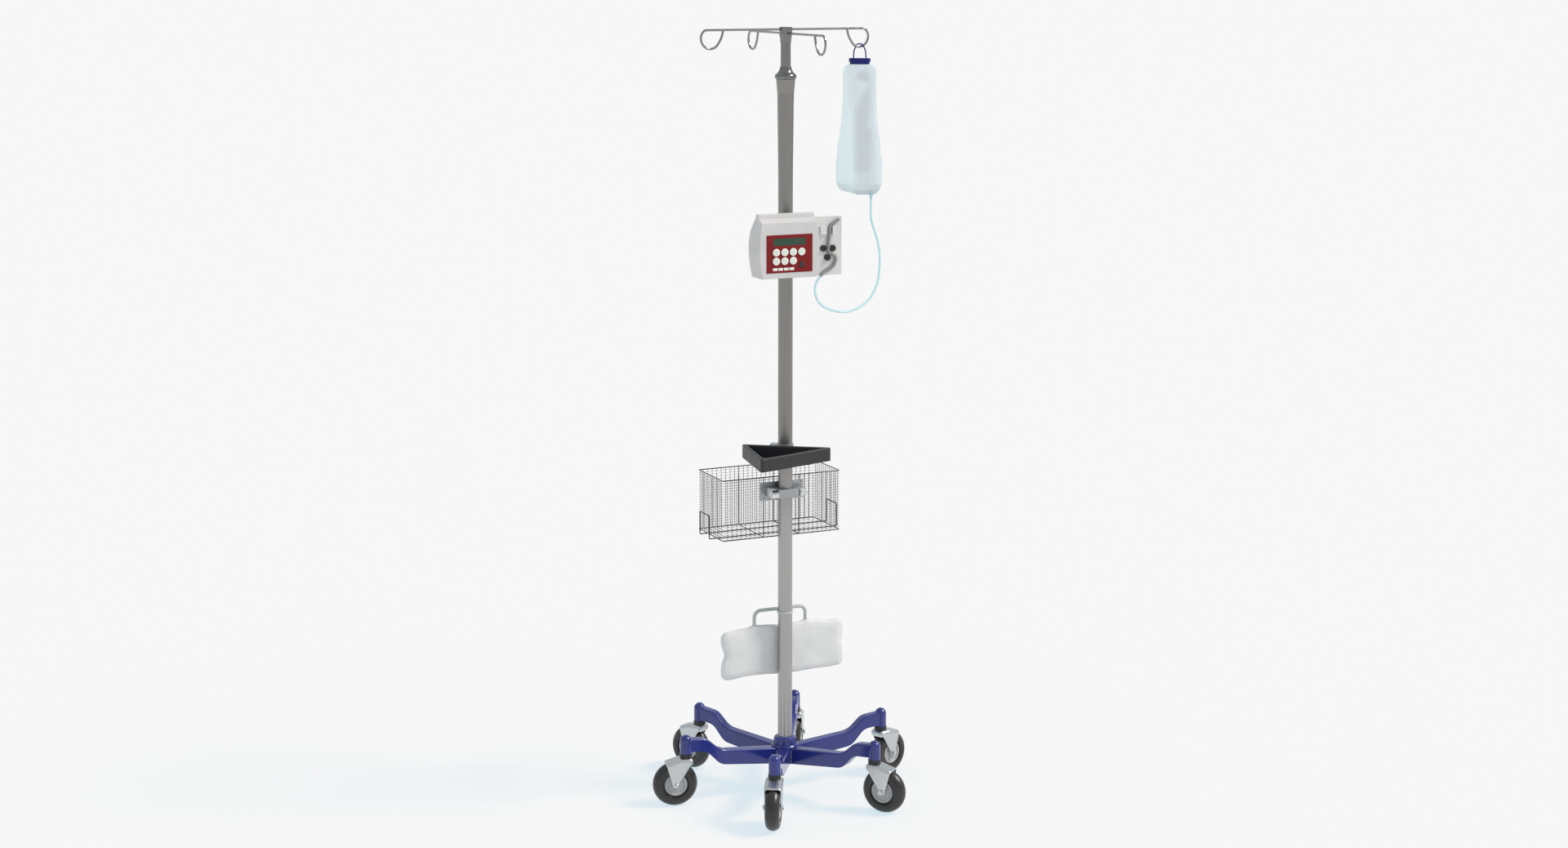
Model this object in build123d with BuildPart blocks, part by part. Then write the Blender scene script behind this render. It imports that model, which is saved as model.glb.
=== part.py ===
from build123d import *

import os
from math import atan2, cos, degrees, hypot, pi, radians, sin, tan

# Drip stand on six casters, with an infusion pump, a tray, a wire basket, a drainage bag and a
# hanging infusion bag. The origin is the pole's axis at floor level, +Z is up, and the pump and
# the keypad face -Y. Millimetres throughout.

os.makedirs("parts", exist_ok=True)


def save(piece, name):
    """Label one finished piece and write its STEP file."""
    piece.label = name
    export_step(piece, f"parts/{name}.step")


def heading(angle):
    """Unit vector in the floor plane, at an angle in degrees from +X."""
    return Vector(cos(radians(angle)), sin(radians(angle)), 0)


# ---------------------------------------------------------------- driving dimensions
RUN_FIT = 0.08          # radial clearance of a running fit
GAP = 0.3               # clearance between pieces that move past each other

POLE_R = 16.0           # outer tube
POLE_BORE_R = 14.0
POLE_FOOT_Z = 72.0
POLE_FLARE_Z = 1380.0
POLE_TOP_Z = 1565.0
POLE_TOP_R = 18.0
MAST_R = 11.0           # inner telescopic tube
MAST_BORE_R = 9.0
MAST_FOOT_Z = 1095.0
MAST_TOP_Z = 1688.0
HEAD_Z = 1672.0
HEAD_TOP_Z = 1706.0

ARM_ANGLES = (-120, -60, 0, 60, 120, 180)
TRAIL_ANGLES = (-119.8, -52.3, 20.5, 60.0, 120.0, 167.8)
STEM_CIRCLE_R = 241.8
STEM_R = 5.5
WHEEL_R = 50.0
TYRE_W = 32.0
RIM_R = 25.0
TRAIL = 25.0
AXLE_R = 4.0
BOLT_HEAD_H = 3.6
FORK_W = 39.0
ROOF_R = 8.0            # outer bend of the pressed roof
SHEET = 2.3             # thickness of the pressed fork
FORK_TOP_Z = 108.8
BOSS_Z = 117.4

# ---------------------------------------------------------------- base casting
HUB_BOTTOM_Z = 66.0
HUB_LIP_Z = 109.0
HUB_TOP_Z = 126.5
BOSS_R = 13.0
DOME_Z = 160.0
ARM_START_X = 12.0
ARM_END_HALF_W = 10.5
HUB_END_HALF_W = 13.8
ARM_EDGE_R = 4.0
CROTCH_R = 5.0          # fillet between neighbouring arms, seen from above
COLLAR_R = 25.2
FLUTES = 12


def arm_blank():
    """One arm along +X: an S-shaped bar that narrows outwards, with rounded top edges and a boss."""
    with BuildPart() as arm:
        with BuildSketch(Plane.XZ):
            with BuildLine():
                top = FilletPolyline(
                    (ARM_START_X, 102.8), (161, 116.9), (194, 147.2), (STEM_CIRCLE_R, 152.5),
                    radius=[45, 34],
                )
                bottom = FilletPolyline(
                    (ARM_START_X, 66.0), (163, 84.2), (194.5, 118.6), (STEM_CIRCLE_R, 122.6),
                    radius=[34, 30],
                )
                Line(top @ 0, bottom @ 0)
                Line(top @ 1, bottom @ 1)
            make_face()
        extrude(amount=HUB_END_HALF_W, both=True)
        with BuildSketch(Plane.XY):
            with BuildLine():
                Polyline(
                    (ARM_START_X, -HUB_END_HALF_W), (STEM_CIRCLE_R, -ARM_END_HALF_W),
                    (STEM_CIRCLE_R, ARM_END_HALF_W), (ARM_START_X, HUB_END_HALF_W), close=True,
                )
            make_face()
        extrude(amount=200, mode=Mode.INTERSECT)
        sides = arm.edges().filter_by(
            lambda edge: abs(edge.center().Y) > ARM_END_HALF_W - 1
            and ARM_START_X + 1 < edge.center().X < STEM_CIRCLE_R - 1
        )
        upper = sides.filter_by(lambda edge: edge.center().Z > 90 + 0.16 * edge.center().X)
        fillet(upper, radius=ARM_EDGE_R)
        with BuildSketch(Plane.XY.offset(BOSS_Z)):
            with Locations((STEM_CIRCLE_R, 0)):
                Circle(BOSS_R)
        extrude(amount=30)
        with BuildSketch(Plane.XZ):
            with BuildLine():
                dome = ThreePointArc(
                    (STEM_CIRCLE_R + BOSS_R, BOSS_Z + 30), (STEM_CIRCLE_R + 9.6, DOME_Z - 4.2),
                    (STEM_CIRCLE_R, DOME_Z),
                )
                Polyline(dome @ 1, (STEM_CIRCLE_R, BOSS_Z + 30), dome @ 0)
            make_face()
        revolve(axis=Axis((STEM_CIRCLE_R, 0, 0), (0, 0, 1)))
        with BuildSketch(Plane.XY.offset(BOSS_Z)):
            with Locations((STEM_CIRCLE_R, 0)):
                Circle(STEM_R + RUN_FIT)
        extrude(amount=32, mode=Mode.SUBTRACT)
    return arm.part


ARM = arm_blank()

with BuildPart() as hub:
    with BuildSketch(Plane.XZ):
        with BuildLine():
            Polyline(
                (0, HUB_BOTTOM_Z), (25.5, HUB_BOTTOM_Z), (27.5, 68), (27.5, 101), (30, 103.5),
                (30, HUB_LIP_Z - 2), (28, HUB_LIP_Z), (COLLAR_R, HUB_LIP_Z), (COLLAR_R, HUB_TOP_Z - 4.5),
                (COLLAR_R - 1.2, HUB_TOP_Z - 1.8), (COLLAR_R - 4, HUB_TOP_Z), (0, HUB_TOP_Z), close=True,
            )
        make_face()
    revolve(axis=Axis.Z)
    with BuildSketch(Plane.XY.offset(69)) as star:
        with PolarLocations(20, len(ARM_ANGLES)):
            Rectangle(40, 2 * HUB_END_HALF_W - 1.6)
        crotches = star.vertices().filter_by(lambda point: hypot(point.X, point.Y) < 34)
        fillet(crotches, radius=CROTCH_R)
    extrude(amount=31)

BASE = hub.part + [Location((0, 0, 0), (0, 0, angle)) * ARM for angle in ARM_ANGLES]

with BuildPart() as base_casting:
    add(BASE)
    with BuildSketch(Plane.XY.offset(HUB_LIP_Z + 1.5)):
        with PolarLocations(COLLAR_R + 5.9, FLUTES):
            Circle(7)
    extrude(amount=HUB_TOP_Z - HUB_LIP_Z - 6.5, mode=Mode.SUBTRACT)
    with BuildSketch(Plane.XY.offset(POLE_FOOT_Z)):
        Circle(POLE_R)
    extrude(amount=HUB_TOP_Z, mode=Mode.SUBTRACT)
save(base_casting.part, "base_casting")

with BuildPart() as caster_bearings:
    with BuildSketch(Plane.XY.offset(FORK_TOP_Z + GAP)):
        with PolarLocations(STEM_CIRCLE_R, len(ARM_ANGLES)):
            Circle(14)
            Circle(STEM_R + RUN_FIT, mode=Mode.SUBTRACT)
    extrude(amount=BOSS_Z - FORK_TOP_Z - GAP)
save(caster_bearings.part, "caster_bearings")


# ---------------------------------------------------------------- casters
def fork_blank():
    """Pressed hood over the wheel, with its stem above and its axle bolt through both cheeks."""
    half = FORK_W / 2
    with BuildPart() as inside:
        with BuildSketch(Plane.XZ):
            with BuildLine():
                Polyline(
                    (-14 + SHEET, FORK_TOP_Z - SHEET), (12.5, FORK_TOP_Z - SHEET), (19.4, 107.2 - SHEET),
                    (60, 95.8 - SHEET), (60, 30), (-14 + SHEET, 30), close=True,
                )
            make_face()
        extrude(amount=half - SHEET, both=True)
        roof = inside.edges().filter_by(
            lambda edge: abs(abs(edge.center().Y) - half + SHEET) < 0.01 and edge.center().Z > 90
            and edge.center().X < 59
        )
        fillet(roof.filter_by(lambda edge: edge.length > 6 and edge.center().X > -11), radius=ROOF_R - SHEET)
    with BuildPart() as hood:
        with BuildSketch(Plane.XZ):
            with BuildLine():
                Polyline(
                    (-14, FORK_TOP_Z), (13, FORK_TOP_Z), (20, 107.2), (49, 99), (33.5, 41),
                    (18, 41), (16, 51), (4, 70), (-8, 90), (-14, 95), close=True,
                )
            make_face()
            tip = [point for point in vertices() if point.Z < 50]
            fillet(tip, radius=6)
        extrude(amount=half, both=True)
        roof = hood.edges().filter_by(
            lambda edge: abs(abs(edge.center().Y) - half) < 0.01 and edge.center().Z > 96
            and edge.center().X < 48
        )
        fillet(roof.filter_by(lambda edge: edge.length > 6 and edge.center().X > -13), radius=ROOF_R)
        add(inside.part, mode=Mode.SUBTRACT)
        with BuildSketch(Plane.XZ):
            with Locations((TRAIL, WHEEL_R)):
                Circle(AXLE_R)
        extrude(amount=half + 1, both=True, mode=Mode.SUBTRACT)
        with BuildSketch(Plane.XY.offset(FORK_TOP_Z)):
            Circle(STEM_R)
        extrude(amount=38)
    with BuildPart() as bolt:
        with BuildSketch(Plane.XZ.offset(-half - 0.01)):
            with Locations((TRAIL, WHEEL_R)):
                Circle(AXLE_R)
        extrude(amount=FORK_W + 4)
        with BuildSketch(Plane.XZ.offset(-half - BOLT_HEAD_H)):
            with Locations((TRAIL, WHEEL_R)):
                Circle(5.4)
        extrude(amount=BOLT_HEAD_H)
        rim = bolt.edges().filter_by(GeomType.CIRCLE).sort_by(Axis.Y)[-1:]
        fillet(rim, radius=2.2)
    with BuildPart() as nut:
        with BuildSketch(Plane.XZ.offset(half)):
            with Locations((TRAIL, WHEEL_R)):
                RegularPolygon(radius=6.0, side_count=6)
                Circle(AXLE_R, mode=Mode.SUBTRACT)
        extrude(amount=3.4)
    return [hood.part, bolt.part, nut.part]


def hub_blank():
    """Wheel centre: a plate with a raised ring at the rim and a long boss on the axle."""
    boss_w = FORK_W / 2 - SHEET - GAP
    with BuildPart() as centre:
        with BuildSketch(Plane.XZ):
            with BuildLine():
                Polyline(
                    (TRAIL + AXLE_R + RUN_FIT, 0), (TRAIL + AXLE_R + RUN_FIT, boss_w),
                    (TRAIL + 8, boss_w), (TRAIL + 9.5, 12.6), (TRAIL + 19, 12.0), (TRAIL + 21, 14.2),
                    (TRAIL + 24, 14.2), (TRAIL + RIM_R, 13.2), (TRAIL + RIM_R, 0), close=True,
                )
            make_face()
            mirror(about=Plane.XZ)
        revolve(axis=Axis((TRAIL, 0, 0), (0, 0, 1)))
    upright = Location((TRAIL, 0, WHEEL_R)) * Location((0, 0, 0), (90, 0, 0)) * Location((-TRAIL, 0, 0))
    return upright * centre.part


def tyre_blank():
    """Round-shouldered tyre on the wheel centre."""
    half = TYRE_W / 2
    with BuildPart() as ring:
        with BuildSketch(Plane.XZ):
            with BuildLine():
                inner = Line((RIM_R, 0), (RIM_R, 11.5))
                bead = Line(inner @ 1, (RIM_R + 3, 11.5))
                wall = Line(bead @ 1, (RIM_R + 4.5, 14.6))
                shoulder = ThreePointArc(wall @ 1, (RIM_R + 10, half), (RIM_R + 16, half - 1.0))
                crown = ThreePointArc(shoulder @ 1, (WHEEL_R - 2.42, 8.75), (WHEEL_R, 0))
                Line(crown @ 1, inner @ 0)
            make_face()
            mirror(about=Plane.XZ)
        revolve(axis=Axis.Z)
    upright = Location((TRAIL, 0, WHEEL_R)) * Location((0, 0, 0), (90, 0, 0))
    return upright * ring.part


FORK = fork_blank()
CENTRE = hub_blank()
TYRE = tyre_blank()

for number, (arm_angle, trail_angle) in enumerate(zip(ARM_ANGLES, TRAIL_ANGLES), start=1):
    stem = Location(heading(arm_angle) * STEM_CIRCLE_R, (0, 0, trail_angle))
    save(Compound([stem * piece for piece in FORK]), f"caster_fork_{number}")
    save(stem * CENTRE, f"caster_hub_{number}")
    save(stem * TYRE, f"caster_tyre_{number}")

# ---------------------------------------------------------------- pole, collet and mast
NUT_FOOT_Z = 1595.6
NUT_NECK_Z = 1622.0
THREAD_R = 16.4
COLLET_R = 15.0
COLLET_FOOT_Z = 1572.0
COLLET_TOP_Z = 1606.0
SLEEVE_FOOT_Z = 1545.0
SLEEVE_BORE_R = 12.0
SLEEVE_TOP_Z = 1595.0

with BuildPart() as outer_tube:
    with BuildSketch(Plane.XZ):
        with BuildLine():
            Polyline(
                (POLE_BORE_R, POLE_FOOT_Z), (POLE_R, POLE_FOOT_Z), (POLE_R, POLE_FLARE_Z),
                (POLE_TOP_R, POLE_TOP_Z), (POLE_BORE_R, POLE_TOP_Z), close=True,
            )
        make_face()
    revolve(axis=Axis.Z)
save(outer_tube.part, "outer_tube")

with BuildPart() as top_sleeve:
    with BuildSketch(Plane.XZ):
        with BuildLine():
            Polyline(
                (SLEEVE_BORE_R, SLEEVE_FOOT_Z), (POLE_BORE_R, SLEEVE_FOOT_Z), (POLE_BORE_R, POLE_TOP_Z),
                (18.25, POLE_TOP_Z), (20.75, SLEEVE_TOP_Z), (THREAD_R, SLEEVE_TOP_Z),
                (THREAD_R, COLLET_TOP_Z), (COLLET_R, COLLET_TOP_Z), (COLLET_R, COLLET_FOOT_Z),
                (SLEEVE_BORE_R, COLLET_FOOT_Z), close=True,
            )
        make_face()
    revolve(axis=Axis.Z)
save(top_sleeve.part, "top_sleeve")

with BuildPart() as collet:
    with BuildSketch(Plane.XY.offset(COLLET_FOOT_Z)):
        Circle(COLLET_R)
        Circle(MAST_R + RUN_FIT, mode=Mode.SUBTRACT)
    extrude(amount=COLLET_TOP_Z - COLLET_FOOT_Z)
    with BuildSketch(Plane.XY.offset(1584)):
        with PolarLocations(13, 4):
            Rectangle(6, 1.2)
    extrude(amount=30, mode=Mode.SUBTRACT)
save(collet.part, "collet")

with BuildPart() as lock_nut:
    with BuildSketch(Plane.XZ):
        with BuildLine():
            foot = Polyline(
                (MAST_R + RUN_FIT, NUT_NECK_Z), (MAST_R + RUN_FIT, COLLET_TOP_Z + 0.6),
                (THREAD_R + 0.4, COLLET_TOP_Z + 0.6), (THREAD_R + 0.4, NUT_FOOT_Z), (21.3, NUT_FOOT_Z),
            )
            bulge = ThreePointArc(foot @ 1, (23.75, 1600.8), (21.0, 1606.2))
            flare = ThreePointArc(bulge @ 1, (15.8, 1611.6), (12.3, NUT_NECK_Z))
            Line(flare @ 1, foot @ 0)
        make_face()
    revolve(axis=Axis.Z)
save(lock_nut.part, "lock_nut")

with BuildPart() as mast_tube:
    with BuildSketch(Plane.XY.offset(MAST_FOOT_Z)):
        Circle(MAST_R)
        Circle(MAST_BORE_R, mode=Mode.SUBTRACT)
    extrude(amount=MAST_TOP_Z - MAST_FOOT_Z)
save(mast_tube.part, "mast_tube")

# ---------------------------------------------------------------- hook head and hook rods
ROD_R = 2.5
ROD_X_Z = 1701.0
ROD_Y_Z = 1692.5

with BuildPart() as hook_head:
    with BuildSketch(Plane.XZ):
        with BuildLine():
            skirt = Polyline((0, MAST_TOP_Z), (MAST_R, MAST_TOP_Z), (MAST_R, HEAD_Z), (11.8, HEAD_Z))
            flare = ThreePointArc(skirt @ 1, (12.5, 1682), (14, 1690))
            Polyline(flare @ 1, (14, HEAD_TOP_Z - 1), (13, HEAD_TOP_Z), (0, HEAD_TOP_Z), skirt @ 0)
        make_face()
    revolve(axis=Axis.Z)
    with BuildSketch(Plane.YZ):
        with Locations((0, ROD_X_Z)):
            Circle(ROD_R)
    extrude(amount=20, both=True, mode=Mode.SUBTRACT)
    with BuildSketch(Plane.XZ):
        with Locations((0, ROD_Y_Z)):
            Circle(ROD_R)
    extrude(amount=20, both=True, mode=Mode.SUBTRACT)
    with BuildSketch(Plane.XY.offset(HEAD_TOP_Z - 1.6)):
        Rectangle(30, 3.2)
    extrude(amount=4, mode=Mode.SUBTRACT)
save(hook_head.part, "hook_head")


LOOP_START = 165.0      # where the bend of a loop is joined to the straight rod
LOOP = [(189, 0), (200.5, -16), (188, -39.3), (164, -39.3), (150, -18), (145.6, -1.5)]
LOOP_RADII = [10, 20, 20, 20, 40]


def hook_rod(level, plane):
    """One rod through the head, bent round into a closed loop under each end."""
    with BuildPart() as rod:
        with BuildLine(plane) as middle:
            Line((-LOOP_START, level), (LOOP_START, level))
        with BuildSketch(Plane(origin=middle.line @ 0, z_dir=middle.line % 0)):
            Circle(ROD_R)
        sweep(path=middle.line)
        for side in (-1, 1):
            bend = [(side * across, level + drop) for across, drop in [(LOOP_START, 0), *LOOP]]
            with BuildLine(plane) as route:
                FilletPolyline(*bend, radius=LOOP_RADII)
            with BuildSketch(Plane(origin=route.line @ 0, z_dir=route.line % 0)):
                Circle(ROD_R)
            sweep(path=route.line)
    return rod.part


save(Compound([hook_rod(ROD_X_Z, Plane.XZ), hook_rod(ROD_Y_Z, Plane.YZ)]), "hook_rods")

# ---------------------------------------------------------------- pump housing
PUMP_X = -32.0          # middle of the housing
PUMP_FACE_Y = -91.0
PUMP_PART_Y = -64.0     # where the front and rear shells meet
PUMP_FOOT_Z = 1178.0
PUMP_FACE_TOP_Z = 1299.0
PUMP_TOP_Z = 1314.5
WALL = 3.0
PANEL_Z = 1190.2
PANEL_W = 108.0
PANEL_H = 81.2
PANEL_X = -32.3
PANEL_FRONT_Y = -91.6
PANEL_BACK_Y = -89.6
KEY_R = 8.2
KEY_PITCH = 19.9
KEY_X = -63.7
KEY_ROWS_Z = (1234.1, 1215.3)
POWER_KEY = (-3.3, 1206.2)
POWER_KEY_R = 6.0
DISPLAY = (-32.4, 1256.1)
DISPLAY_W = 76.2
DISPLAY_H = 15.6
LAMP_X = -66.1
LAMP_PITCH = 12.9
LAMP_W = 10.8
LAMP_H = 5.8
LAMP_Z = 1198.0
KEY_PLACES = [(KEY_X + KEY_PITCH * column, KEY_ROWS_Z[0]) for column in range(4)]
KEY_PLACES += [(KEY_X + KEY_PITCH * column, KEY_ROWS_Z[1]) for column in range(3)]


def pump_body(inset):
    """Housing with bowed sides, a stepped ledge on top and a sloping back, drawn in by an inset."""
    with BuildPart() as body:
        with BuildSketch(Plane.YZ):
            with BuildLine():
                Polyline(
                    (PUMP_FACE_Y, PUMP_FOOT_Z), (PUMP_FACE_Y, PUMP_FACE_TOP_Z - 1.5),
                    (PUMP_FACE_Y + 1.5, PUMP_FACE_TOP_Z), (-84, 1300.5), (-76.5, 1304.5),
                    (-75, PUMP_TOP_Z - 1), (-74, PUMP_TOP_Z), (-62, PUMP_TOP_Z), (-52, 1300),
                    (-38, 1276), (-33.5, 1254), (-33.5, 1220), (-37, PUMP_FOOT_Z), close=True,
                )
            make_face()
            if inset:
                offset(amount=-inset, kind=Kind.INTERSECTION, mode=Mode.REPLACE)
        extrude(amount=120, both=True)
        with BuildSketch(Plane.XZ):
            with BuildLine():
                right = ThreePointArc((PUMP_X + 64, PUMP_FOOT_Z), (PUMP_X + 70.3, 1240), (PUMP_X + 64.5, 1302))
                left = ThreePointArc((PUMP_X - 64, PUMP_FOOT_Z), (PUMP_X - 70.3, 1240), (PUMP_X - 64.5, 1302))
                Line(right @ 0, left @ 0)
                Polyline(right @ 1, (PUMP_X + 65, PUMP_TOP_Z + 2), (PUMP_X - 65, PUMP_TOP_Z + 2), left @ 1)
            make_face()
            if inset:
                offset(amount=-inset, kind=Kind.INTERSECTION, mode=Mode.REPLACE)
        extrude(amount=120, both=True, mode=Mode.INTERSECT)
    return body.part


HOUSING = pump_body(0)
CAVITY = pump_body(WALL)

GUIDE_LEFT_X = 30.0
GUIDE_RIGHT_X = 101.5
GUIDE_FRONT_Y = -70.0
GUIDE_FOOT_Z = 1177.0
GUIDE_TOP_Z = 1304.0
GUIDE_BLOCK_H = 18.0    # the two blocks that hold the pump tube
GUIDE_BLOCK_D = 7.0
GUIDE_BLOCK_Z = 1274.7
LEFT_BLOCK_X = 55.2
LEFT_BLOCK_W = 13.8
RIGHT_BLOCK_X = 80.2
RIGHT_BLOCK_W = 6.6
PUMP_TUBE_R = 3.5
PUMP_TUBE_Y = -73.0
ROLLER_R = 7.0
ROLLER_W = 5.0
ROLLER_SHAFT_R = 2.5
ROLLERS = [(56.6, 1235.8), (78.8, 1235.2), (66.2, 1215.6)]
LINE_JOINT = Vector(50.0, PUMP_TUBE_Y, 1176.0)      # where the pump tube meets the drip line
PUMP_TUBE_ROUTE = [
    (94.0, PUMP_TUBE_Y, 1297.2), (72.4, PUMP_TUBE_Y, 1285.6), (70.2, PUMP_TUBE_Y, 1262.0),
    (66.9, PUMP_TUBE_Y, 1228.0), (88.5, PUMP_TUBE_Y, 1215.6), (81.5, PUMP_TUBE_Y, 1196.5),
    (58.0, PUMP_TUBE_Y, 1184.6), tuple(LINE_JOINT),
]
PUMP_TUBE_RADII = [9, 60, 11, 9, 12, 14]


def slab(left, right, foot, top, front, back):
    """Upright plate between two X, two Z and two Y limits."""
    with BuildPart() as plate:
        with BuildSketch(Plane.XZ.offset(-back)):
            with Locations(((left + right) / 2, (foot + top) / 2)):
                Rectangle(right - left, top - foot)
        extrude(amount=back - front)
    return plate.part


FRONT_HALF = slab(-150, 120, 1150, 1340, -120, PUMP_PART_Y)
BACK_HALF = slab(-150, 120, 1150, 1340, PUMP_PART_Y, 20)
GUIDE_SLOT = slab(GUIDE_LEFT_X, GUIDE_RIGHT_X, GUIDE_FOOT_Z, GUIDE_TOP_Z, GUIDE_FRONT_Y, PUMP_PART_Y)

with BuildPart() as pump_front_shell:
    add(HOUSING)
    face_edges = pump_front_shell.faces().sort_by(Axis.Y)[0].edges()
    fillet(face_edges, radius=1.2)
    add(CAVITY, mode=Mode.SUBTRACT)
    add(FRONT_HALF, mode=Mode.INTERSECT)
    add(GUIDE_SLOT, mode=Mode.SUBTRACT)
    with BuildSketch(Plane.XZ.offset(-PANEL_BACK_Y)):
        with Locations((PANEL_X, PANEL_Z + PANEL_H / 2)):
            Rectangle(PANEL_W, PANEL_H)
    extrude(amount=5, mode=Mode.SUBTRACT)
    with BuildSketch(Plane.XZ.offset(-PUMP_FACE_Y - 6)):
        with Locations(*KEY_PLACES):
            Circle(KEY_R + GAP)
        with Locations(POWER_KEY):
            Circle(POWER_KEY_R + GAP)
    extrude(amount=10, mode=Mode.SUBTRACT)
save(pump_front_shell.part, "pump_front_shell")

HEAD_BOX = (GUIDE_LEFT_X + 4, GUIDE_RIGHT_X - 3, GUIDE_FOOT_Z + 4, GUIDE_TOP_Z - 4)

with BuildPart() as pump_rear_shell:
    add(HOUSING)
    add(BACK_HALF, mode=Mode.INTERSECT)
    with BuildSketch(Plane.XZ.offset(-PUMP_PART_Y)):
        with Locations(((HEAD_BOX[0] + HEAD_BOX[1]) / 2, (HEAD_BOX[2] + HEAD_BOX[3]) / 2)):
            RectangleRounded(HEAD_BOX[1] - HEAD_BOX[0], HEAD_BOX[3] - HEAD_BOX[2], 6)
    extrude(amount=-24)
    with BuildSketch(Plane.XZ.offset(-PUMP_PART_Y)):
        with Locations(((HEAD_BOX[0] + HEAD_BOX[1]) / 2, (HEAD_BOX[2] + HEAD_BOX[3]) / 2)):
            RectangleRounded(HEAD_BOX[1] - HEAD_BOX[0] - 6, HEAD_BOX[3] - HEAD_BOX[2] - 6, 4)
    extrude(amount=-21, mode=Mode.SUBTRACT)
    add(CAVITY, mode=Mode.SUBTRACT)
save(pump_rear_shell.part, "pump_rear_shell")

with BuildPart() as keypad_panel:
    with BuildSketch(Plane.XZ.offset(-PANEL_BACK_Y)):
        with Locations((PANEL_X, PANEL_Z + PANEL_H / 2)):
            Rectangle(PANEL_W, PANEL_H)
        with Locations(*KEY_PLACES):
            Circle(KEY_R + GAP, mode=Mode.SUBTRACT)
        with Locations(POWER_KEY):
            Circle(POWER_KEY_R + GAP, mode=Mode.SUBTRACT)
        with Locations(DISPLAY):
            Rectangle(DISPLAY_W, DISPLAY_H, mode=Mode.SUBTRACT)
        with Locations([(LAMP_X + LAMP_PITCH * place, LAMP_Z) for place in range(4)]):
            Rectangle(LAMP_W, LAMP_H, mode=Mode.SUBTRACT)
    extrude(amount=PANEL_BACK_Y - PANEL_FRONT_Y)
save(keypad_panel.part, "keypad_panel")

with BuildPart() as display_window:
    with BuildSketch(Plane.XZ.offset(-PANEL_BACK_Y)):
        with Locations(DISPLAY):
            Rectangle(DISPLAY_W, DISPLAY_H)
    extrude(amount=PANEL_BACK_Y - PANEL_FRONT_Y - 0.3)
save(display_window.part, "display_window")

with BuildPart() as indicator_lamps:
    with BuildSketch(Plane.XZ.offset(-PANEL_BACK_Y)):
        with Locations([(LAMP_X + LAMP_PITCH * place, LAMP_Z) for place in range(4)]):
            Rectangle(LAMP_W, LAMP_H)
    extrude(amount=PANEL_BACK_Y - PANEL_FRONT_Y + 0.4)
save(indicator_lamps.part, "indicator_lamps")

KEY_FRONT_Y = -93.6
KEY_FLANGE_Y = -87.6
KEY_STEM_R = 2.5
KEY_STEM_REACH = 4.2


def key(place, radius):
    """A push key: a crowned cap, and a flange behind the wall that keeps it in."""
    with BuildPart() as cap:
        with BuildSketch(Plane.XZ.offset(-KEY_FLANGE_Y)):
            with Locations(place):
                Circle(radius)
        extrude(amount=KEY_FLANGE_Y - KEY_FRONT_Y)
        chamfer(cap.edges().sort_by(Axis.Y)[0], length=0.8)
        with BuildSketch(Plane.XZ.offset(-KEY_FLANGE_Y)):
            with Locations(place):
                Circle(radius + 1.0)
        extrude(amount=-1.2)
        with BuildSketch(Plane.XZ.offset(-KEY_FLANGE_Y)):
            with Locations(place):
                Circle(KEY_STEM_R)
        extrude(amount=-KEY_STEM_REACH)
    return cap.part


for number, place in enumerate(KEY_PLACES, start=1):
    save(key(place, KEY_R), f"key_{number}")
save(key(POWER_KEY, POWER_KEY_R), "power_key")

BOARD_Y = -80.4
BOARD_T = 1.6

with BuildPart() as circuit_board:
    with BuildSketch(Plane.XZ.offset(-BOARD_Y)):
        with Locations((PUMP_X, 1238)):
            Rectangle(116, 96)
    extrude(amount=-BOARD_T)
with BuildPart() as board_chips:
    with BuildSketch(Plane.XZ.offset(-BOARD_Y - BOARD_T)):
        with Locations((PUMP_X - 30, 1262), (PUMP_X + 26, 1255)):
            Rectangle(26, 26)
        with Locations((PUMP_X, 1212)):
            Rectangle(60, 12)
    extrude(amount=-3)
save(Compound([circuit_board.part, *board_chips.part.solids()]), "pump_circuit_board")

# ---------------------------------------------------------------- tube guide, pump tube and rollers
with BuildPart() as pump_tube:
    with BuildLine() as pump_tube_route:
        FilletPolyline(*PUMP_TUBE_ROUTE, radius=PUMP_TUBE_RADII)
    with BuildSketch(Plane(origin=pump_tube_route.line @ 0, z_dir=pump_tube_route.line % 0)):
        Circle(PUMP_TUBE_R)
    sweep(path=pump_tube_route.line)
save(pump_tube.part, "pump_tube")

with BuildPart() as tube_guide_plate:
    with BuildSketch(Plane.XZ.offset(-PUMP_PART_Y)):
        with Locations(((GUIDE_LEFT_X + GUIDE_RIGHT_X) / 2, (GUIDE_FOOT_Z + GUIDE_TOP_Z) / 2)):
            Rectangle(GUIDE_RIGHT_X - GUIDE_LEFT_X, GUIDE_TOP_Z - GUIDE_FOOT_Z)
    extrude(amount=PUMP_PART_Y - GUIDE_FRONT_Y)
    right_edges = tube_guide_plate.edges().filter_by(Axis.Y).sort_by(Axis.X)[-2:]
    fillet(right_edges, radius=3)
    with BuildSketch(Plane.XZ.offset(-GUIDE_FRONT_Y)):
        with Locations((LEFT_BLOCK_X, GUIDE_BLOCK_Z)):
            Rectangle(LEFT_BLOCK_W, GUIDE_BLOCK_H)
        with Locations((RIGHT_BLOCK_X, GUIDE_BLOCK_Z)):
            Rectangle(RIGHT_BLOCK_W, GUIDE_BLOCK_H)
    extrude(amount=GUIDE_BLOCK_D)
    with BuildSketch(Plane.XZ.offset(-PUMP_PART_Y)):
        with Locations(*ROLLERS):
            Circle(ROLLER_SHAFT_R + RUN_FIT)
    extrude(amount=10, mode=Mode.SUBTRACT)
    add(pump_tube.part, mode=Mode.SUBTRACT)
save(tube_guide_plate.part, "tube_guide_plate")

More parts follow.
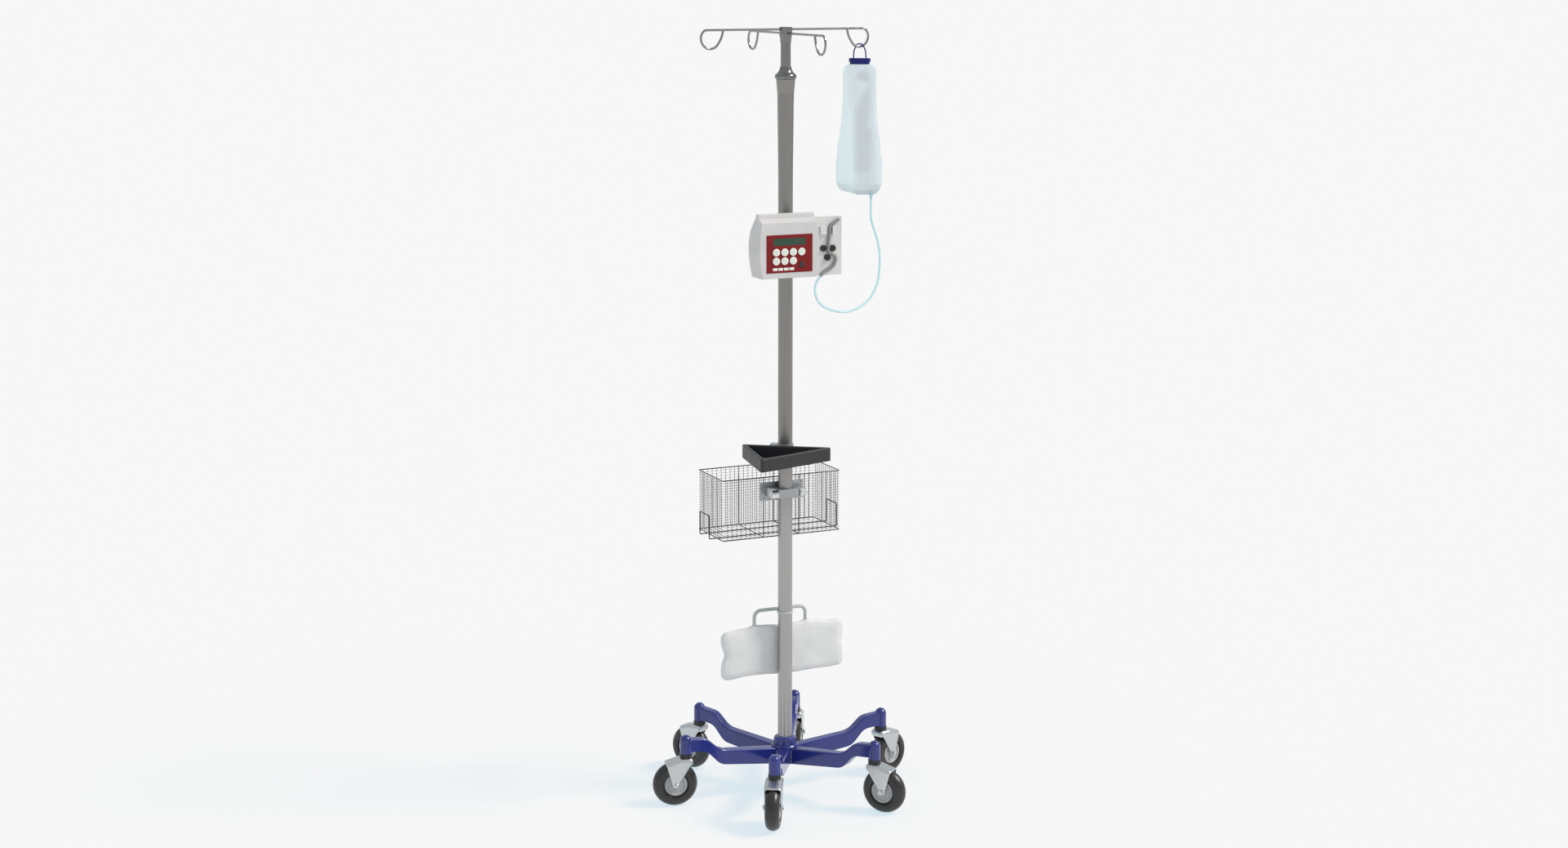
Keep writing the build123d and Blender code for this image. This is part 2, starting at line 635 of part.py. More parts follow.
for number, place in enumerate(ROLLERS, start=1):
    with BuildPart() as roller:
        with BuildSketch(Plane.XZ.offset(-GUIDE_FRONT_Y + GAP)):
            with Locations(place):
                Circle(ROLLER_R)
        extrude(amount=ROLLER_W)
        fillet(roller.edges().filter_by(GeomType.CIRCLE).sort_by(Axis.Y)[0], radius=0.8)
        with BuildSketch(Plane.XZ.offset(-GUIDE_FRONT_Y + GAP + ROLLER_W)):
            with Locations(place):
                Circle(2.2)
        extrude(amount=-1.0, mode=Mode.SUBTRACT)
        with BuildSketch(Plane.XZ.offset(-GUIDE_FRONT_Y + GAP)):
            with Locations(place):
                Circle(ROLLER_SHAFT_R)
        extrude(amount=-14)
    save(roller.part, f"roller_{number}")

# ---------------------------------------------------------------- pump clamp on the pole
CLAMP_Z = 1240.0
CLAMP_HALF_H = 18.0
CLAMP_BACK_Y = 26.0
SCREW_R = 4.0

with BuildPart() as pump_clamp:
    with BuildSketch(Plane.XY.offset(CLAMP_Z - CLAMP_HALF_H)):
        with BuildLine():
            Polyline(
                (-27, -33.5), (36, -33.5), (36, -20), (30, -16), (30, CLAMP_BACK_Y), (-16, CLAMP_BACK_Y),
                (-27, 15), close=True,
            )
        make_face()
        Circle(POLE_R, mode=Mode.SUBTRACT)
    extrude(amount=2 * CLAMP_HALF_H)
    with BuildSketch(Plane.YZ):
        with Locations((0, CLAMP_Z)):
            Circle(SCREW_R + RUN_FIT)
    extrude(amount=40, mode=Mode.SUBTRACT)
    with BuildSketch(Plane.XZ.offset(-CLAMP_BACK_Y)):
        with Locations((20, CLAMP_Z)):
            Rectangle(1.2, 2 * CLAMP_HALF_H)
    extrude(amount=8, mode=Mode.SUBTRACT)
save(pump_clamp.part, "pump_clamp")


def knob(shaft_start, shaft_end, length, radius, lobes):
    """A clamp knob along +X: a threaded shaft and a lobed grip."""
    with BuildPart() as grip:
        with BuildSketch(Plane.YZ.offset(shaft_start)):
            Circle(SCREW_R)
        extrude(amount=shaft_end - shaft_start + 0.5)
        with BuildSketch(Plane.YZ.offset(shaft_end)):
            Circle(radius * 0.55)
        extrude(amount=length * 0.25)
        with BuildSketch(Plane.YZ.offset(shaft_end + length * 0.25)):
            Circle(radius)
            with PolarLocations(radius * 1.16, lobes):
                Circle(radius * 0.30, mode=Mode.SUBTRACT)
        extrude(amount=length * 0.75)
        chamfer(grip.faces().sort_by(Axis.X)[-1].edges(), length=1.0)
    return grip.part


save(Location((0, 0, CLAMP_Z)) * knob(POLE_R + GAP, 32, 20, 16, 6), "pump_clamp_knob")

# ---------------------------------------------------------------- tray
TRAY_Z = 768.0
TRAY_H = 29.0
TRAY_WALL = 9.5
TRAY_LEFT = Vector(-87.5, 40.4)
TRAY_FRONT = Vector(-119.0, -136.4)
TRAY_RIGHT = Vector(80.1, -77.7)
TRAY_BACK = (TRAY_RIGHT - TRAY_LEFT).normalized()   # along the tray's wall beside the pole
TRAY_BACK_ANGLE = degrees(atan2(TRAY_BACK.Y, TRAY_BACK.X))
TRAY_AWAY = TRAY_BACK.rotate(Axis.Z, -90)           # from the pole towards the tray
TRAY_GAP = abs(TRAY_LEFT.dot(TRAY_AWAY))            # from the pole's axis to that wall

with BuildPart() as tray:
    with BuildSketch(Plane.XY.offset(TRAY_Z)) as tray_plan:
        with BuildLine():
            Polyline(TRAY_LEFT, TRAY_FRONT, TRAY_RIGHT, close=True)
        make_face()
        fillet(tray_plan.vertices(), radius=5)
    extrude(amount=TRAY_H)
    with BuildSketch(Plane.XY.offset(TRAY_Z + 4)):
        add(tray_plan.sketch.moved(Location((0, 0, 4))))
        offset(amount=-TRAY_WALL, kind=Kind.INTERSECTION, mode=Mode.REPLACE)
    extrude(amount=TRAY_H, mode=Mode.SUBTRACT)
    fillet(tray.faces().sort_by(Axis.Z)[-1].edges(), radius=2.4)
save(tray.part, "tray")

COLLAR_BORE_R = POLE_R + RUN_FIT
TRAY_CLAMP_Z = 770.0
TRAY_CLAMP_H = 28.0
TRAY_COLLAR_R = 19.0
PINCH_SLOT = 1.6
EAR_X = -24.5
EAR_BACK_Y = 8.0

# the clamp is drawn with the tray towards -Y, then turned to the tray's wall
with BuildPart() as tray_clamp_blank:
    with BuildSketch(Plane.XY.offset(TRAY_CLAMP_Z)):
        Circle(TRAY_COLLAR_R)
        with Locations((-17, (EAR_BACK_Y - TRAY_GAP) / 2)):
            Rectangle(30, TRAY_GAP + EAR_BACK_Y)
        with Locations((13, -13.5)):
            Rectangle(14, 2 * (TRAY_GAP - 13.5))
        with Locations((0, -TRAY_GAP - 10)):
            Rectangle(90, 20, mode=Mode.SUBTRACT)
        Circle(COLLAR_BORE_R, mode=Mode.SUBTRACT)
        with Locations((-25, 1.5)):
            Rectangle(20, PINCH_SLOT, mode=Mode.SUBTRACT)
    extrude(amount=TRAY_CLAMP_H)
TURN = Location((0, 0, 0), (0, 0, TRAY_BACK_ANGLE))
with BuildPart() as tray_clamp:
    add(tray_clamp_blank.part)
    with BuildSketch(Plane.XZ.offset(-20)):
        with Locations((EAR_X, TRAY_CLAMP_Z + 12)):
            Circle(SCREW_R + RUN_FIT)
    extrude(amount=37.5, mode=Mode.SUBTRACT)
save(TURN * tray_clamp.part, "tray_clamp")

SCREW_ALONG_Y = Location((EAR_X, 0, TRAY_CLAMP_Z + 12), (0, 0, 90))
save(TURN * SCREW_ALONG_Y * knob(-12, EAR_BACK_Y + GAP, 13, 8, 5), "tray_clamp_knob")

# ---------------------------------------------------------------- basket and its clamp
BASKET_X = 143.7
BASKET_MID_X = 1.7
BASKET_FRONT_Y = 20.6
BASKET_BACK_Y = 160.0
BASKET_FOOT_Z = 584.0
BASKET_TOP_Z = 722.0
BASKET_WALL = 1.2
CRADLE_X = 157.0
CRADLE_ROWS_Y = (66.0, 119.0)
CRADLE_FOOT_Z = 582.7
CRADLE_TOP_Z = 635.0
CRADLE_R = 1.3

with BuildPart() as wire_basket:
    with BuildSketch(Plane.XY.offset(BASKET_FOOT_Z)):
        with Locations((BASKET_MID_X, (BASKET_FRONT_Y + BASKET_BACK_Y) / 2)):
            Rectangle(2 * BASKET_X, BASKET_BACK_Y - BASKET_FRONT_Y)
    extrude(amount=BASKET_TOP_Z - BASKET_FOOT_Z)
    offset(amount=-BASKET_WALL, openings=wire_basket.faces().sort_by(Axis.Z)[-1])
save(wire_basket.part, "wire_basket")

CRADLE_END = [(CRADLE_ROWS_Y[0], CRADLE_TOP_Z), (CRADLE_ROWS_Y[0], CRADLE_FOOT_Z)]
CRADLE_FAR = [(CRADLE_ROWS_Y[1], CRADLE_FOOT_Z), (CRADLE_ROWS_Y[1], CRADLE_TOP_Z)]
CRADLE_LEFT = BASKET_MID_X - CRADLE_X
CRADLE_RIGHT = BASKET_MID_X + CRADLE_X
CRADLE_LOOP = [(CRADLE_LEFT, row, level) for row, level in CRADLE_END]
CRADLE_LOOP += [(CRADLE_RIGHT, row, level) for row, level in reversed(CRADLE_END)]
CRADLE_LOOP += [(CRADLE_RIGHT, row, level) for row, level in reversed(CRADLE_FAR)]
CRADLE_LOOP += [(CRADLE_LEFT, row, level) for row, level in CRADLE_FAR]

with BuildPart() as basket_cradle:
    with BuildLine() as cradle_route:
        FilletPolyline(*CRADLE_LOOP, radius=3, close=True)
    with BuildSketch(Plane(origin=cradle_route.line @ 0, z_dir=cradle_route.line % 0)):
        Circle(CRADLE_R)
    sweep(path=cradle_route.line)
save(basket_cradle.part, "basket_cradle")

YOKE_Z = 680.0
YOKE_TOP_Z = 699.5
YOKE_FRONT_Y = -23.5
YOKE_LEFT_X = -27.0
YOKE_RIGHT_X = 25.5
SCREW_Y = -17.0         # the two screws stand in the front corners of the yoke
YOKE_SCREW_R = 3.2
YOKE_SCREW_DEEP = 12.0
PLATE_X = 52.0
PLATE_Z = (668.5, 710.6)
PLATE_T = 3.0
PLATE_HOLE_R = 2.2
LEFT_HEAD_R = 11.0
RIGHT_HEAD_R = 9.6
RIGHT_TIP_R = 5.6

with BuildPart() as basket_clamp:
    with BuildSketch(Plane.XZ.offset(-BASKET_FRONT_Y)):
        with Locations((0, sum(PLATE_Z) / 2)):
            Rectangle(2 * PLATE_X, PLATE_Z[1] - PLATE_Z[0])
        with Locations((-PLATE_X + 7, PLATE_Z[0] + 7), (PLATE_X - 7, PLATE_Z[1] - 5)):
            Circle(PLATE_HOLE_R, mode=Mode.SUBTRACT)
        with Locations((PLATE_X - 7, PLATE_Z[0] + 7), (-PLATE_X + 7, PLATE_Z[1] - 5)):
            Circle(PLATE_HOLE_R, mode=Mode.SUBTRACT)
    extrude(amount=PLATE_T)
    with BuildSketch(Plane.XY.offset(YOKE_Z)):
        with BuildLine():
            Polyline(
                (-40, BASKET_FRONT_Y - 3), (-40, 8), (YOKE_LEFT_X, -5), (YOKE_LEFT_X, YOKE_FRONT_Y + 2.5),
                (YOKE_LEFT_X + 2.5, YOKE_FRONT_Y), (YOKE_RIGHT_X - 2.5, YOKE_FRONT_Y),
                (YOKE_RIGHT_X, YOKE_FRONT_Y + 2.5), (YOKE_RIGHT_X, -5), (46, 13),
                (46, BASKET_FRONT_Y - 3), close=True,
            )
        make_face()
    extrude(amount=YOKE_TOP_Z - YOKE_Z)
    with BuildSketch(Plane.XY.offset(YOKE_Z - 1)):
        Circle(COLLAR_BORE_R)
    extrude(amount=YOKE_TOP_Z - YOKE_Z + 2, mode=Mode.SUBTRACT)
    with BuildSketch(Plane.YZ.offset(YOKE_LEFT_X)):
        with Locations((SCREW_Y, (YOKE_Z + YOKE_TOP_Z) / 2)):
            Circle(YOKE_SCREW_R)
    extrude(amount=YOKE_SCREW_DEEP, mode=Mode.SUBTRACT)
    with BuildSketch(Plane.YZ.offset(YOKE_RIGHT_X)):
        with Locations((SCREW_Y, (YOKE_Z + YOKE_TOP_Z) / 2)):
            Circle(YOKE_SCREW_R)
    extrude(amount=-YOKE_SCREW_DEEP, mode=Mode.SUBTRACT)
    mouth = basket_clamp.faces().filter_by(Axis.Z).sort_by(Axis.Z)[-2].edges().filter_by(GeomType.CIRCLE)
    chamfer(mouth, length=1.4)
save(basket_clamp.part, "basket_clamp")


def basket_screw(seat, length, radius, tip_length, tip_radius):
    """A clamp screw along +X: its thread in the yoke, a domed head and a tip on the head."""
    with BuildPart() as screw:
        with BuildSketch(Plane.YZ.offset(seat - YOKE_SCREW_DEEP)):
            Circle(YOKE_SCREW_R)
        extrude(amount=YOKE_SCREW_DEEP)
        with BuildSketch(Plane.YZ.offset(seat)):
            Circle(radius)
        extrude(amount=length)
        fillet(screw.edges().filter_by(GeomType.CIRCLE).sort_by(Axis.X)[-1], radius=3)
        if tip_length:
            with BuildSketch(Plane.YZ.offset(seat + length)):
                Circle(tip_radius)
            extrude(amount=tip_length)
            fillet(screw.edges().filter_by(GeomType.CIRCLE).sort_by(Axis.X)[-1], radius=2)
    return screw.part


SCREW_LEVEL = Location((0, SCREW_Y, (YOKE_Z + YOKE_TOP_Z) / 2))
LEFT_SIDE = Location((0, 0, 0), (0, 0, 180))
RIGHT_SCREW = SCREW_LEVEL * basket_screw(YOKE_RIGHT_X, 11, RIGHT_HEAD_R, 9, RIGHT_TIP_R)
LEFT_SCREW = SCREW_LEVEL * LEFT_SIDE * basket_screw(-YOKE_LEFT_X, 16, LEFT_HEAD_R, 0, 0)
save(Compound([LEFT_SCREW, RIGHT_SCREW]), "basket_screws")

# ---------------------------------------------------------------- drainage bag on its hanger
BAR_Y = 28.0
BAR_Z = 416.0
BAR_R = 4.0
LEG_X = 63.0
BAND_R = 18.2           # thin band that clasps the pole
BAND_H = 5.0
BAG_X = 4.0
BAG_HALF_W = 148.0
BAG_FOOT_Z = 264.0
BAG_TOP_Z = 384.0
BAG_HALF_T = 11.0

with BuildPart() as bag_hanger:
    with BuildLine() as bar_route:
        FilletPolyline(
            (-LEG_X, BAR_Y, BAG_TOP_Z), (-LEG_X, BAR_Y, BAR_Z), (LEG_X, BAR_Y, BAR_Z),
            (LEG_X, BAR_Y, BAG_TOP_Z), radius=16,
        )
    with BuildSketch(Plane(origin=bar_route.line @ 0, z_dir=bar_route.line % 0)):
        Circle(BAR_R)
    sweep(path=bar_route.line)
    with BuildSketch(Plane.XY.offset(BAR_Z - BAND_H / 2)):
        Circle(BAND_R)
        with Locations((0, 22)):
            Rectangle(14, 12)
        Circle(COLLAR_BORE_R, mode=Mode.SUBTRACT)
    extrude(amount=BAND_H)
save(bag_hanger.part, "bag_hanger")

with BuildPart() as drainage_bag:
    with BuildSketch(Plane.XY.offset(BAG_FOOT_Z)):
        with Locations((BAG_X, BAR_Y)):
            RectangleRounded(2 * BAG_HALF_W, 2 * BAG_HALF_T, 9)
    extrude(amount=BAG_TOP_Z - BAG_FOOT_Z)
    fillet(drainage_bag.faces().sort_by(Axis.Z)[0].edges(), radius=8)
    fillet(drainage_bag.faces().sort_by(Axis.Z)[-1].edges(), radius=6)
save(drainage_bag.part, "drainage_bag")

# ---------------------------------------------------------------- infusion bag
DRIP_X = 177.0
DRIP_TURN = -40.0       # the bag hangs with its wide side at this angle to the hook rod
NECK_Z = 1624.0
DRIP_SECTIONS = [       # height, half width, half thickness
    (1345, 40, 16), (1352, 48, 21), (1400, 51, 24), (1470, 43, 21), (1530, 37, 18), (1590, 36, 15),
    (1612, 35, 13.5), (1620, 32, 12), (NECK_Z, 24, 11),
]
PORT_OUT = 27.7         # from the middle of the bag to its outlet
PORT_FOOT_Z = 1336.0
BAIL_R = 1.4
BAIL_TOP_Z = 1667.8
CAP_FOOT_H = 5.0
CAP_RIM_H = 8.0
HANG = Location((DRIP_X, 0, 0), (0, 0, DRIP_TURN))

with BuildPart() as drip_bag_blank:
    for height, half_width, half_depth in DRIP_SECTIONS:
        with BuildSketch(Plane.XY.offset(height)):
            Ellipse(half_width, half_depth)
    loft()
    with BuildSketch(Plane.XY.offset(PORT_FOOT_Z)):
        with Locations((PORT_OUT, 0)):
            Circle(4)
    extrude(amount=15)
save(HANG * drip_bag_blank.part, "iv_bag")

with BuildPart() as bag_cap_blank:
    with BuildSketch(Plane.XY.offset(NECK_Z)):
        Ellipse(22, 11)
    extrude(amount=CAP_FOOT_H)
    with BuildSketch(Plane.XY.offset(NECK_Z + CAP_FOOT_H)):
        Ellipse(24, 13)
    extrude(amount=CAP_RIM_H)
    with BuildLine() as bail_route:
        FilletPolyline(
            (-14, 0, NECK_Z + 12.5), (-13, 0, 1653), (-6, 0, BAIL_TOP_Z), (6, 0, BAIL_TOP_Z), (13, 0, 1653),
            (14, 0, NECK_Z + 12.5), radius=[20, 7.5, 7.5, 20],
        )
    with BuildSketch(Plane(origin=bail_route.line @ 0, z_dir=bail_route.line % 0)):
        Circle(BAIL_R)
    sweep(path=bail_route.line)
save(HANG * bag_cap_blank.part, "bag_cap")

# ---------------------------------------------------------------- drip line
LINE_R = 2.75
LAST_RUN = (LINE_JOINT - Vector(PUMP_TUBE_ROUTE[-2])).normalized()
PORT = heading(DRIP_TURN) * PORT_OUT + Vector(DRIP_X, 0, PORT_FOOT_Z)
LINE_ROUTE = [
    PORT, (PORT.X, PORT.Y, 1311), (197, -20, 1286), (206, -23, 1260), (213, -26, 1235),
    (215, -30, 1209), (212, -35, 1181), (207, -40, 1156), (197, -44, 1134), (180, -49, 1114),
    (156, -54, 1100), (125, -59, 1091), (91, -63, 1095), (62, -67, 1106), (45, -69, 1121),
    (37.2, -71, 1141), (37.6, -72.4, 1156.2), LINE_JOINT + LAST_RUN * 9, LINE_JOINT,
]


def cord_radii(points, limit):
    """Arc radius at each corner: 0.45 of the shorter run over the tangent of half the turn."""
    points = [Vector(point) for point in points]
    radii = []
    for before, corner, after in zip(points, points[1:], points[2:]):
        arriving = corner - before
        leaving = after - corner
        half_turn = radians(arriving.get_angle(leaving)) / 2
        radii.append(min(limit, 0.45 * min(arriving.length, leaving.length) / tan(half_turn)))
    return radii


LINE_RADII = cord_radii(LINE_ROUTE, 2000)
print("drip line radii:", [round(radius, 1) for radius in LINE_RADII])

with BuildPart() as iv_line:
    with BuildLine() as line_route:
        FilletPolyline(*LINE_ROUTE, radius=LINE_RADII)
    with BuildSketch(Plane(origin=line_route.line @ 0, z_dir=line_route.line % 0)):
        Circle(LINE_R)
    sweep(path=line_route.line)
save(iv_line.part, "iv_line")
LINE_LENGTH = sum(edge.length for edge in line_route.edges())
print("drip line length:", round(LINE_LENGTH, 1))
print("volume over section times length:", round(iv_line.part.volume / (pi * LINE_R ** 2 * LINE_LENGTH), 4))
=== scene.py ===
from math import cos, exp, pi, radians, sin

import bmesh
import bpy
from mathutils import Matrix, Vector, noise


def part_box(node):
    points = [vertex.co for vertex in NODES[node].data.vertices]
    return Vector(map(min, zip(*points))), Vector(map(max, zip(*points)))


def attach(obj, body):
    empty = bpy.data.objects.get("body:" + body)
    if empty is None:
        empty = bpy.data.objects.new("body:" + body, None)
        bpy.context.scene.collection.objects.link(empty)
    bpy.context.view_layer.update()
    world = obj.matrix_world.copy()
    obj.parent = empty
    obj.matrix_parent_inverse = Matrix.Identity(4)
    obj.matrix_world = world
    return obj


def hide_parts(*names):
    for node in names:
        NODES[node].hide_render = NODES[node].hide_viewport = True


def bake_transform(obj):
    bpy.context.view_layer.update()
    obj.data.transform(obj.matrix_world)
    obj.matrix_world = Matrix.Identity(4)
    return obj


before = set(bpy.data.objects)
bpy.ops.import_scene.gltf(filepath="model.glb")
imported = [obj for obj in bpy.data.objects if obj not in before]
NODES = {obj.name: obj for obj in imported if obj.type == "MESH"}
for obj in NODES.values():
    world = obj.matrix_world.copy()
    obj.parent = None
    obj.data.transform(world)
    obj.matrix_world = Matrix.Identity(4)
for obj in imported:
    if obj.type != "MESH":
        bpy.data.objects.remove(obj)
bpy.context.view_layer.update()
MM = 0.001

scene = bpy.context.scene
scene.view_settings.view_transform = "Standard"

# ---------------------------------------------------------------- camera
CAMERA_PLACE = (-2.2259, -4.8383, 1.8595)
CAMERA_AZIMUTH = 24.675     # clockwise from +Y, seen from above
CAMERA_DOWN = 10.817
CAMERA_ROLL = 0.061
CAMERA_LENS = 56.484        # mm, on a sensor 36 mm wide
camera = bpy.data.objects.new("camera", bpy.data.cameras.new("camera"))
camera.data.sensor_width = 36.0
camera.data.lens = CAMERA_LENS
camera.data.clip_end = 2000
scene.collection.objects.link(camera)
turn = Matrix.Rotation(radians(-CAMERA_AZIMUTH), 4, "Z") @ Matrix.Rotation(radians(90 - CAMERA_DOWN), 4, "X")
camera.matrix_world = Matrix.Translation(CAMERA_PLACE) @ turn @ Matrix.Rotation(radians(CAMERA_ROLL), 4, "Z")
scene.camera = camera


# ---------------------------------------------------------------- mesh helpers
def new_mesh(name, bm, smooth=True):
    """Put a bmesh into a new object."""
    bmesh.ops.recalc_face_normals(bm, faces=bm.faces)
    mesh = bpy.data.meshes.new(name)
    bm.to_mesh(mesh)
    bm.free()
    mesh.polygons.foreach_set("use_smooth", [smooth] * len(mesh.polygons))
    piece = bpy.data.objects.new(name, mesh)
    scene.collection.objects.link(piece)
    return piece


def frames_along(points, closed=False):
    """Parallel-transported side and up vectors at each point of a path."""
    count = len(points)
    tangents = []
    for i in range(count):
        if closed:
            step = points[(i + 1) % count] - points[i - 1]
        else:
            step = points[min(i + 1, count - 1)] - points[max(i - 1, 0)]
        tangents.append(step.normalized())
    first = tangents[0]
    guess = Vector((0, 0, 1)) if abs(first.z) < 0.9 else Vector((1, 0, 0))
    side = first.cross(guess).normalized()
    result = []
    for tangent in tangents:
        side = (side - tangent * side.dot(tangent)).normalized()
        result.append((side, tangent.cross(side).normalized()))
    return result


def tube(bm, points, radius, sides=8, closed=False):
    """A round tube along a path, with flat ends; radius may be one value or one for each point."""
    points = [Vector(p) for p in points]
    radii = radius if isinstance(radius, (list, tuple)) else [radius] * len(points)
    rings = []
    for point, (side, up), r in zip(points, frames_along(points, closed), radii):
        ring = []
        for k in range(sides):
            angle = 2 * pi * k / sides
            ring.append(bm.verts.new(point + side * (r * cos(angle)) + up * (r * sin(angle))))
        rings.append(ring)
    spans = list(zip(rings, rings[1:]))
    if closed:
        spans.append((rings[-1], rings[0]))
    for a, b in spans:
        for k in range(sides):
            bm.faces.new((a[k], a[(k + 1) % sides], b[(k + 1) % sides], b[k]))
    if not closed:
        bm.faces.new(rings[0])
        bm.faces.new(list(reversed(rings[-1])))
    return rings


def rounded(points, radius, steps=4, closed=False):
    """A path of straight runs with each corner turned into an arc-like bend."""
    points = [Vector(p) for p in points]
    count = len(points)
    path = []
    for i, corner in enumerate(points):
        if not closed and i in (0, count - 1):
            path.append(corner)
            continue
        before, after = points[i - 1], points[(i + 1) % count]
        reach = min(radius, 0.45 * (before - corner).length, 0.45 * (after - corner).length)
        start = corner + (before - corner).normalized() * reach
        end = corner + (after - corner).normalized() * reach
        for k in range(steps + 1):
            t = k / steps
            path.append(start * (1 - t) ** 2 + corner * (2 * t * (1 - t)) + end * t ** 2)
    return path


# ---------------------------------------------------------------- drip line
PORT = Vector((198.22, -17.81, 1336.0)) * MM
LINE_ROUTE = [
    (198.22, -17.81, 1336.0), (198.22, -17.81, 1311), (197, -20, 1286), (206, -23, 1260), (213, -26, 1235),
    (215, -30, 1209), (212, -35, 1181), (207, -40, 1156), (197, -44, 1134), (180, -49, 1114),
    (156, -54, 1100), (125, -59, 1091), (91, -63, 1095), (62, -67, 1106), (45, -69, 1121),
    (37.2, -71, 1141), (37.6, -72.4, 1156.2), (43.87, -73, 1169.41), (50, -73, 1176),
]
LINE_DIAMETER = 5.5 * MM


def route_points(route, per_span):
    """Points along the smooth spline that has the route's points as its control points."""
    curve = bpy.data.curves.new("route", "CURVE")
    curve.dimensions = "3D"
    spline = curve.splines.new("NURBS")
    spline.points.add(len(route) - 1)
    for place, point in zip(spline.points, route):
        place.co = (*[value * MM for value in point], 1)
    spline.order_u = 3
    spline.use_endpoint_u = True
    spline.resolution_u = per_span
    holder = bpy.data.objects.new("route", curve)
    scene.collection.objects.link(holder)
    mesh = bpy.data.meshes.new_from_object(holder)
    points = [vertex.co.copy() for vertex in mesh.vertices]
    bpy.data.objects.remove(holder)
    bpy.data.meshes.remove(mesh)
    return points


line_points = route_points(LINE_ROUTE, 8)
bm = bmesh.new()
tube(bm, line_points, LINE_DIAMETER / 2, sides=20)
drip_line = new_mesh("drip_line", bm)
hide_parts("iv_line")
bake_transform(drip_line)


# ---------------------------------------------------------------- material helpers
class Nodes:
    """A new material and short ways to add nodes to it."""

    def __init__(self, name):
        self.material = bpy.data.materials.new(name)
        self.material.use_nodes = True
        self.tree = self.material.node_tree
        self.tree.nodes.clear()
        self.output = self.tree.nodes.new("ShaderNodeOutputMaterial")
        self.shader = self.add("ShaderNodeBsdfPrincipled")
        self.join(self.shader, "BSDF", self.output, "Surface")
        self.place = self.add("ShaderNodeTexCoord")

    def add(self, kind, **values):
        node = self.tree.nodes.new(kind)
        for key, value in values.items():
            if key in node.inputs:
                node.inputs[key].default_value = value
            else:
                setattr(node, key, value)
        return node

    def join(self, a, a_socket, b, b_socket):
        self.tree.links.new(a.outputs[a_socket], b.inputs[b_socket])

    def set(self, **values):
        for key, value in values.items():
            self.shader.inputs[key.replace("_", " ")].default_value = value

    def noise(self, scale, detail=3.0, stretch=(1, 1, 1), roughness=0.55):
        """Fractal noise over the object's own coordinates, in metres."""
        mapping = self.add("ShaderNodeMapping")
        mapping.inputs["Scale"].default_value = stretch
        self.join(self.place, "Object", mapping, "Vector")
        texture = self.add("ShaderNodeTexNoise", Scale=scale, Detail=detail, Roughness=roughness)
        self.join(mapping, "Vector", texture, "Vector")
        return texture

    def ramp(self, source, socket, stops):
        node = self.add("ShaderNodeValToRGB")
        self.join(source, socket, node, "Fac")
        ramp = node.color_ramp
        while len(ramp.elements) < len(stops):
            ramp.elements.new(0.5)
        for element, (place, colour) in zip(ramp.elements, stops):
            element.position = place
            element.color = (*colour, 1) if isinstance(colour, (tuple, list)) else (colour, colour, colour, 1)
        return node

    def mix(self, factor, a, b, blend="MIX"):
        """Mix two colours; each of the three may be a (node, socket) pair or a plain value."""
        node = self.add("ShaderNodeMix", data_type="RGBA", blend_type=blend)
        for socket, value in ((0, factor), (6, a), (7, b)):
            if isinstance(value, tuple) and isinstance(value[0], bpy.types.Node):
                self.tree.links.new(value[0].outputs[value[1]], node.inputs[socket])
            elif isinstance(value, (int, float)):
                node.inputs[socket].default_value = value
            else:
                node.inputs[socket].default_value = (*value, 1)
        return node, 2

    def colour(self, source):
        self.tree.links.new(source[0].outputs[source[1]], self.shader.inputs["Base Color"])

    def rough(self, texture, low, high):
        node = self.add("ShaderNodeMapRange")
        node.inputs["From Min"].default_value = 0.3
        node.inputs["From Max"].default_value = 0.7
        node.inputs["To Min"].default_value = low
        node.inputs["To Max"].default_value = high
        self.join(texture, "Fac", node, "Value")
        self.join(node, "Result", self.shader, "Roughness")

    def edges(self, radius):
        """1 on convex and concave edges, 0 on flat ground."""
        bevel = self.add("ShaderNodeBevel", samples=4)
        bevel.inputs["Radius"].default_value = radius
        ground = self.add("ShaderNodeNewGeometry")
        dot = self.add("ShaderNodeVectorMath", operation="DOT_PRODUCT")
        self.join(bevel, "Normal", dot, 0)
        self.join(ground, "Normal", dot, 1)
        node = self.add("ShaderNodeMapRange")
        node.inputs["From Min"].default_value = 0.995
        node.inputs["From Max"].default_value = 0.93
        self.join(dot, "Value", node, "Value")
        return node, "Result"

    def bump(self, texture, distance, strength=1.0, socket="Fac", soft=0.0):
        node = self.add("ShaderNodeBump", Strength=strength, Distance=distance)
        self.join(texture, socket, node, "Height")
        if soft:
            bevel = self.add("ShaderNodeBevel", samples=4)
            bevel.inputs["Radius"].default_value = soft
            self.join(bevel, "Normal", node, "Normal")
        self.join(node, "Normal", self.shader, "Normal")
        return node


def shade(colour, factor):
    return tuple(min(1.0, value * factor) for value in colour)


def painted(name, colour, edge_wear_and_highlight, grain=700, soft=0.0006):
    """Glossy coat over metal: slight orange peel, clouded tone, and edges painted lighter in scuffed patches,
    partly wear from rubbing and partly a painted edge highlight.
    """
    m = Nodes(name)
    cloud = m.noise(9, 4)
    tone = m.ramp(cloud, "Fac", [(0.35, shade(colour, 0.82)), (0.7, shade(colour, 1.15))])
    edge = m.edges(0.0012)
    scuff = m.noise(160, 5)
    mask = m.ramp(scuff, "Fac", [(0.5, 0.0), (0.62, 1.0)])
    # painted highlight mixed with wear: edges take a lighter colour where the scuff pattern lets it through
    wear_and_highlight_mask = m.mix(edge, (0, 0, 0), (mask, "Color"))
    m.colour(m.mix(wear_and_highlight_mask, (tone, "Color"), edge_wear_and_highlight))
    m.rough(m.noise(60, 4), 0.16, 0.30)
    m.set(Specular_IOR_Level=0.5, Coat_Weight=0.5, Coat_Roughness=0.08)
    m.bump(m.noise(grain, 2), 0.00004, 0.6, soft=soft)
    return m.material


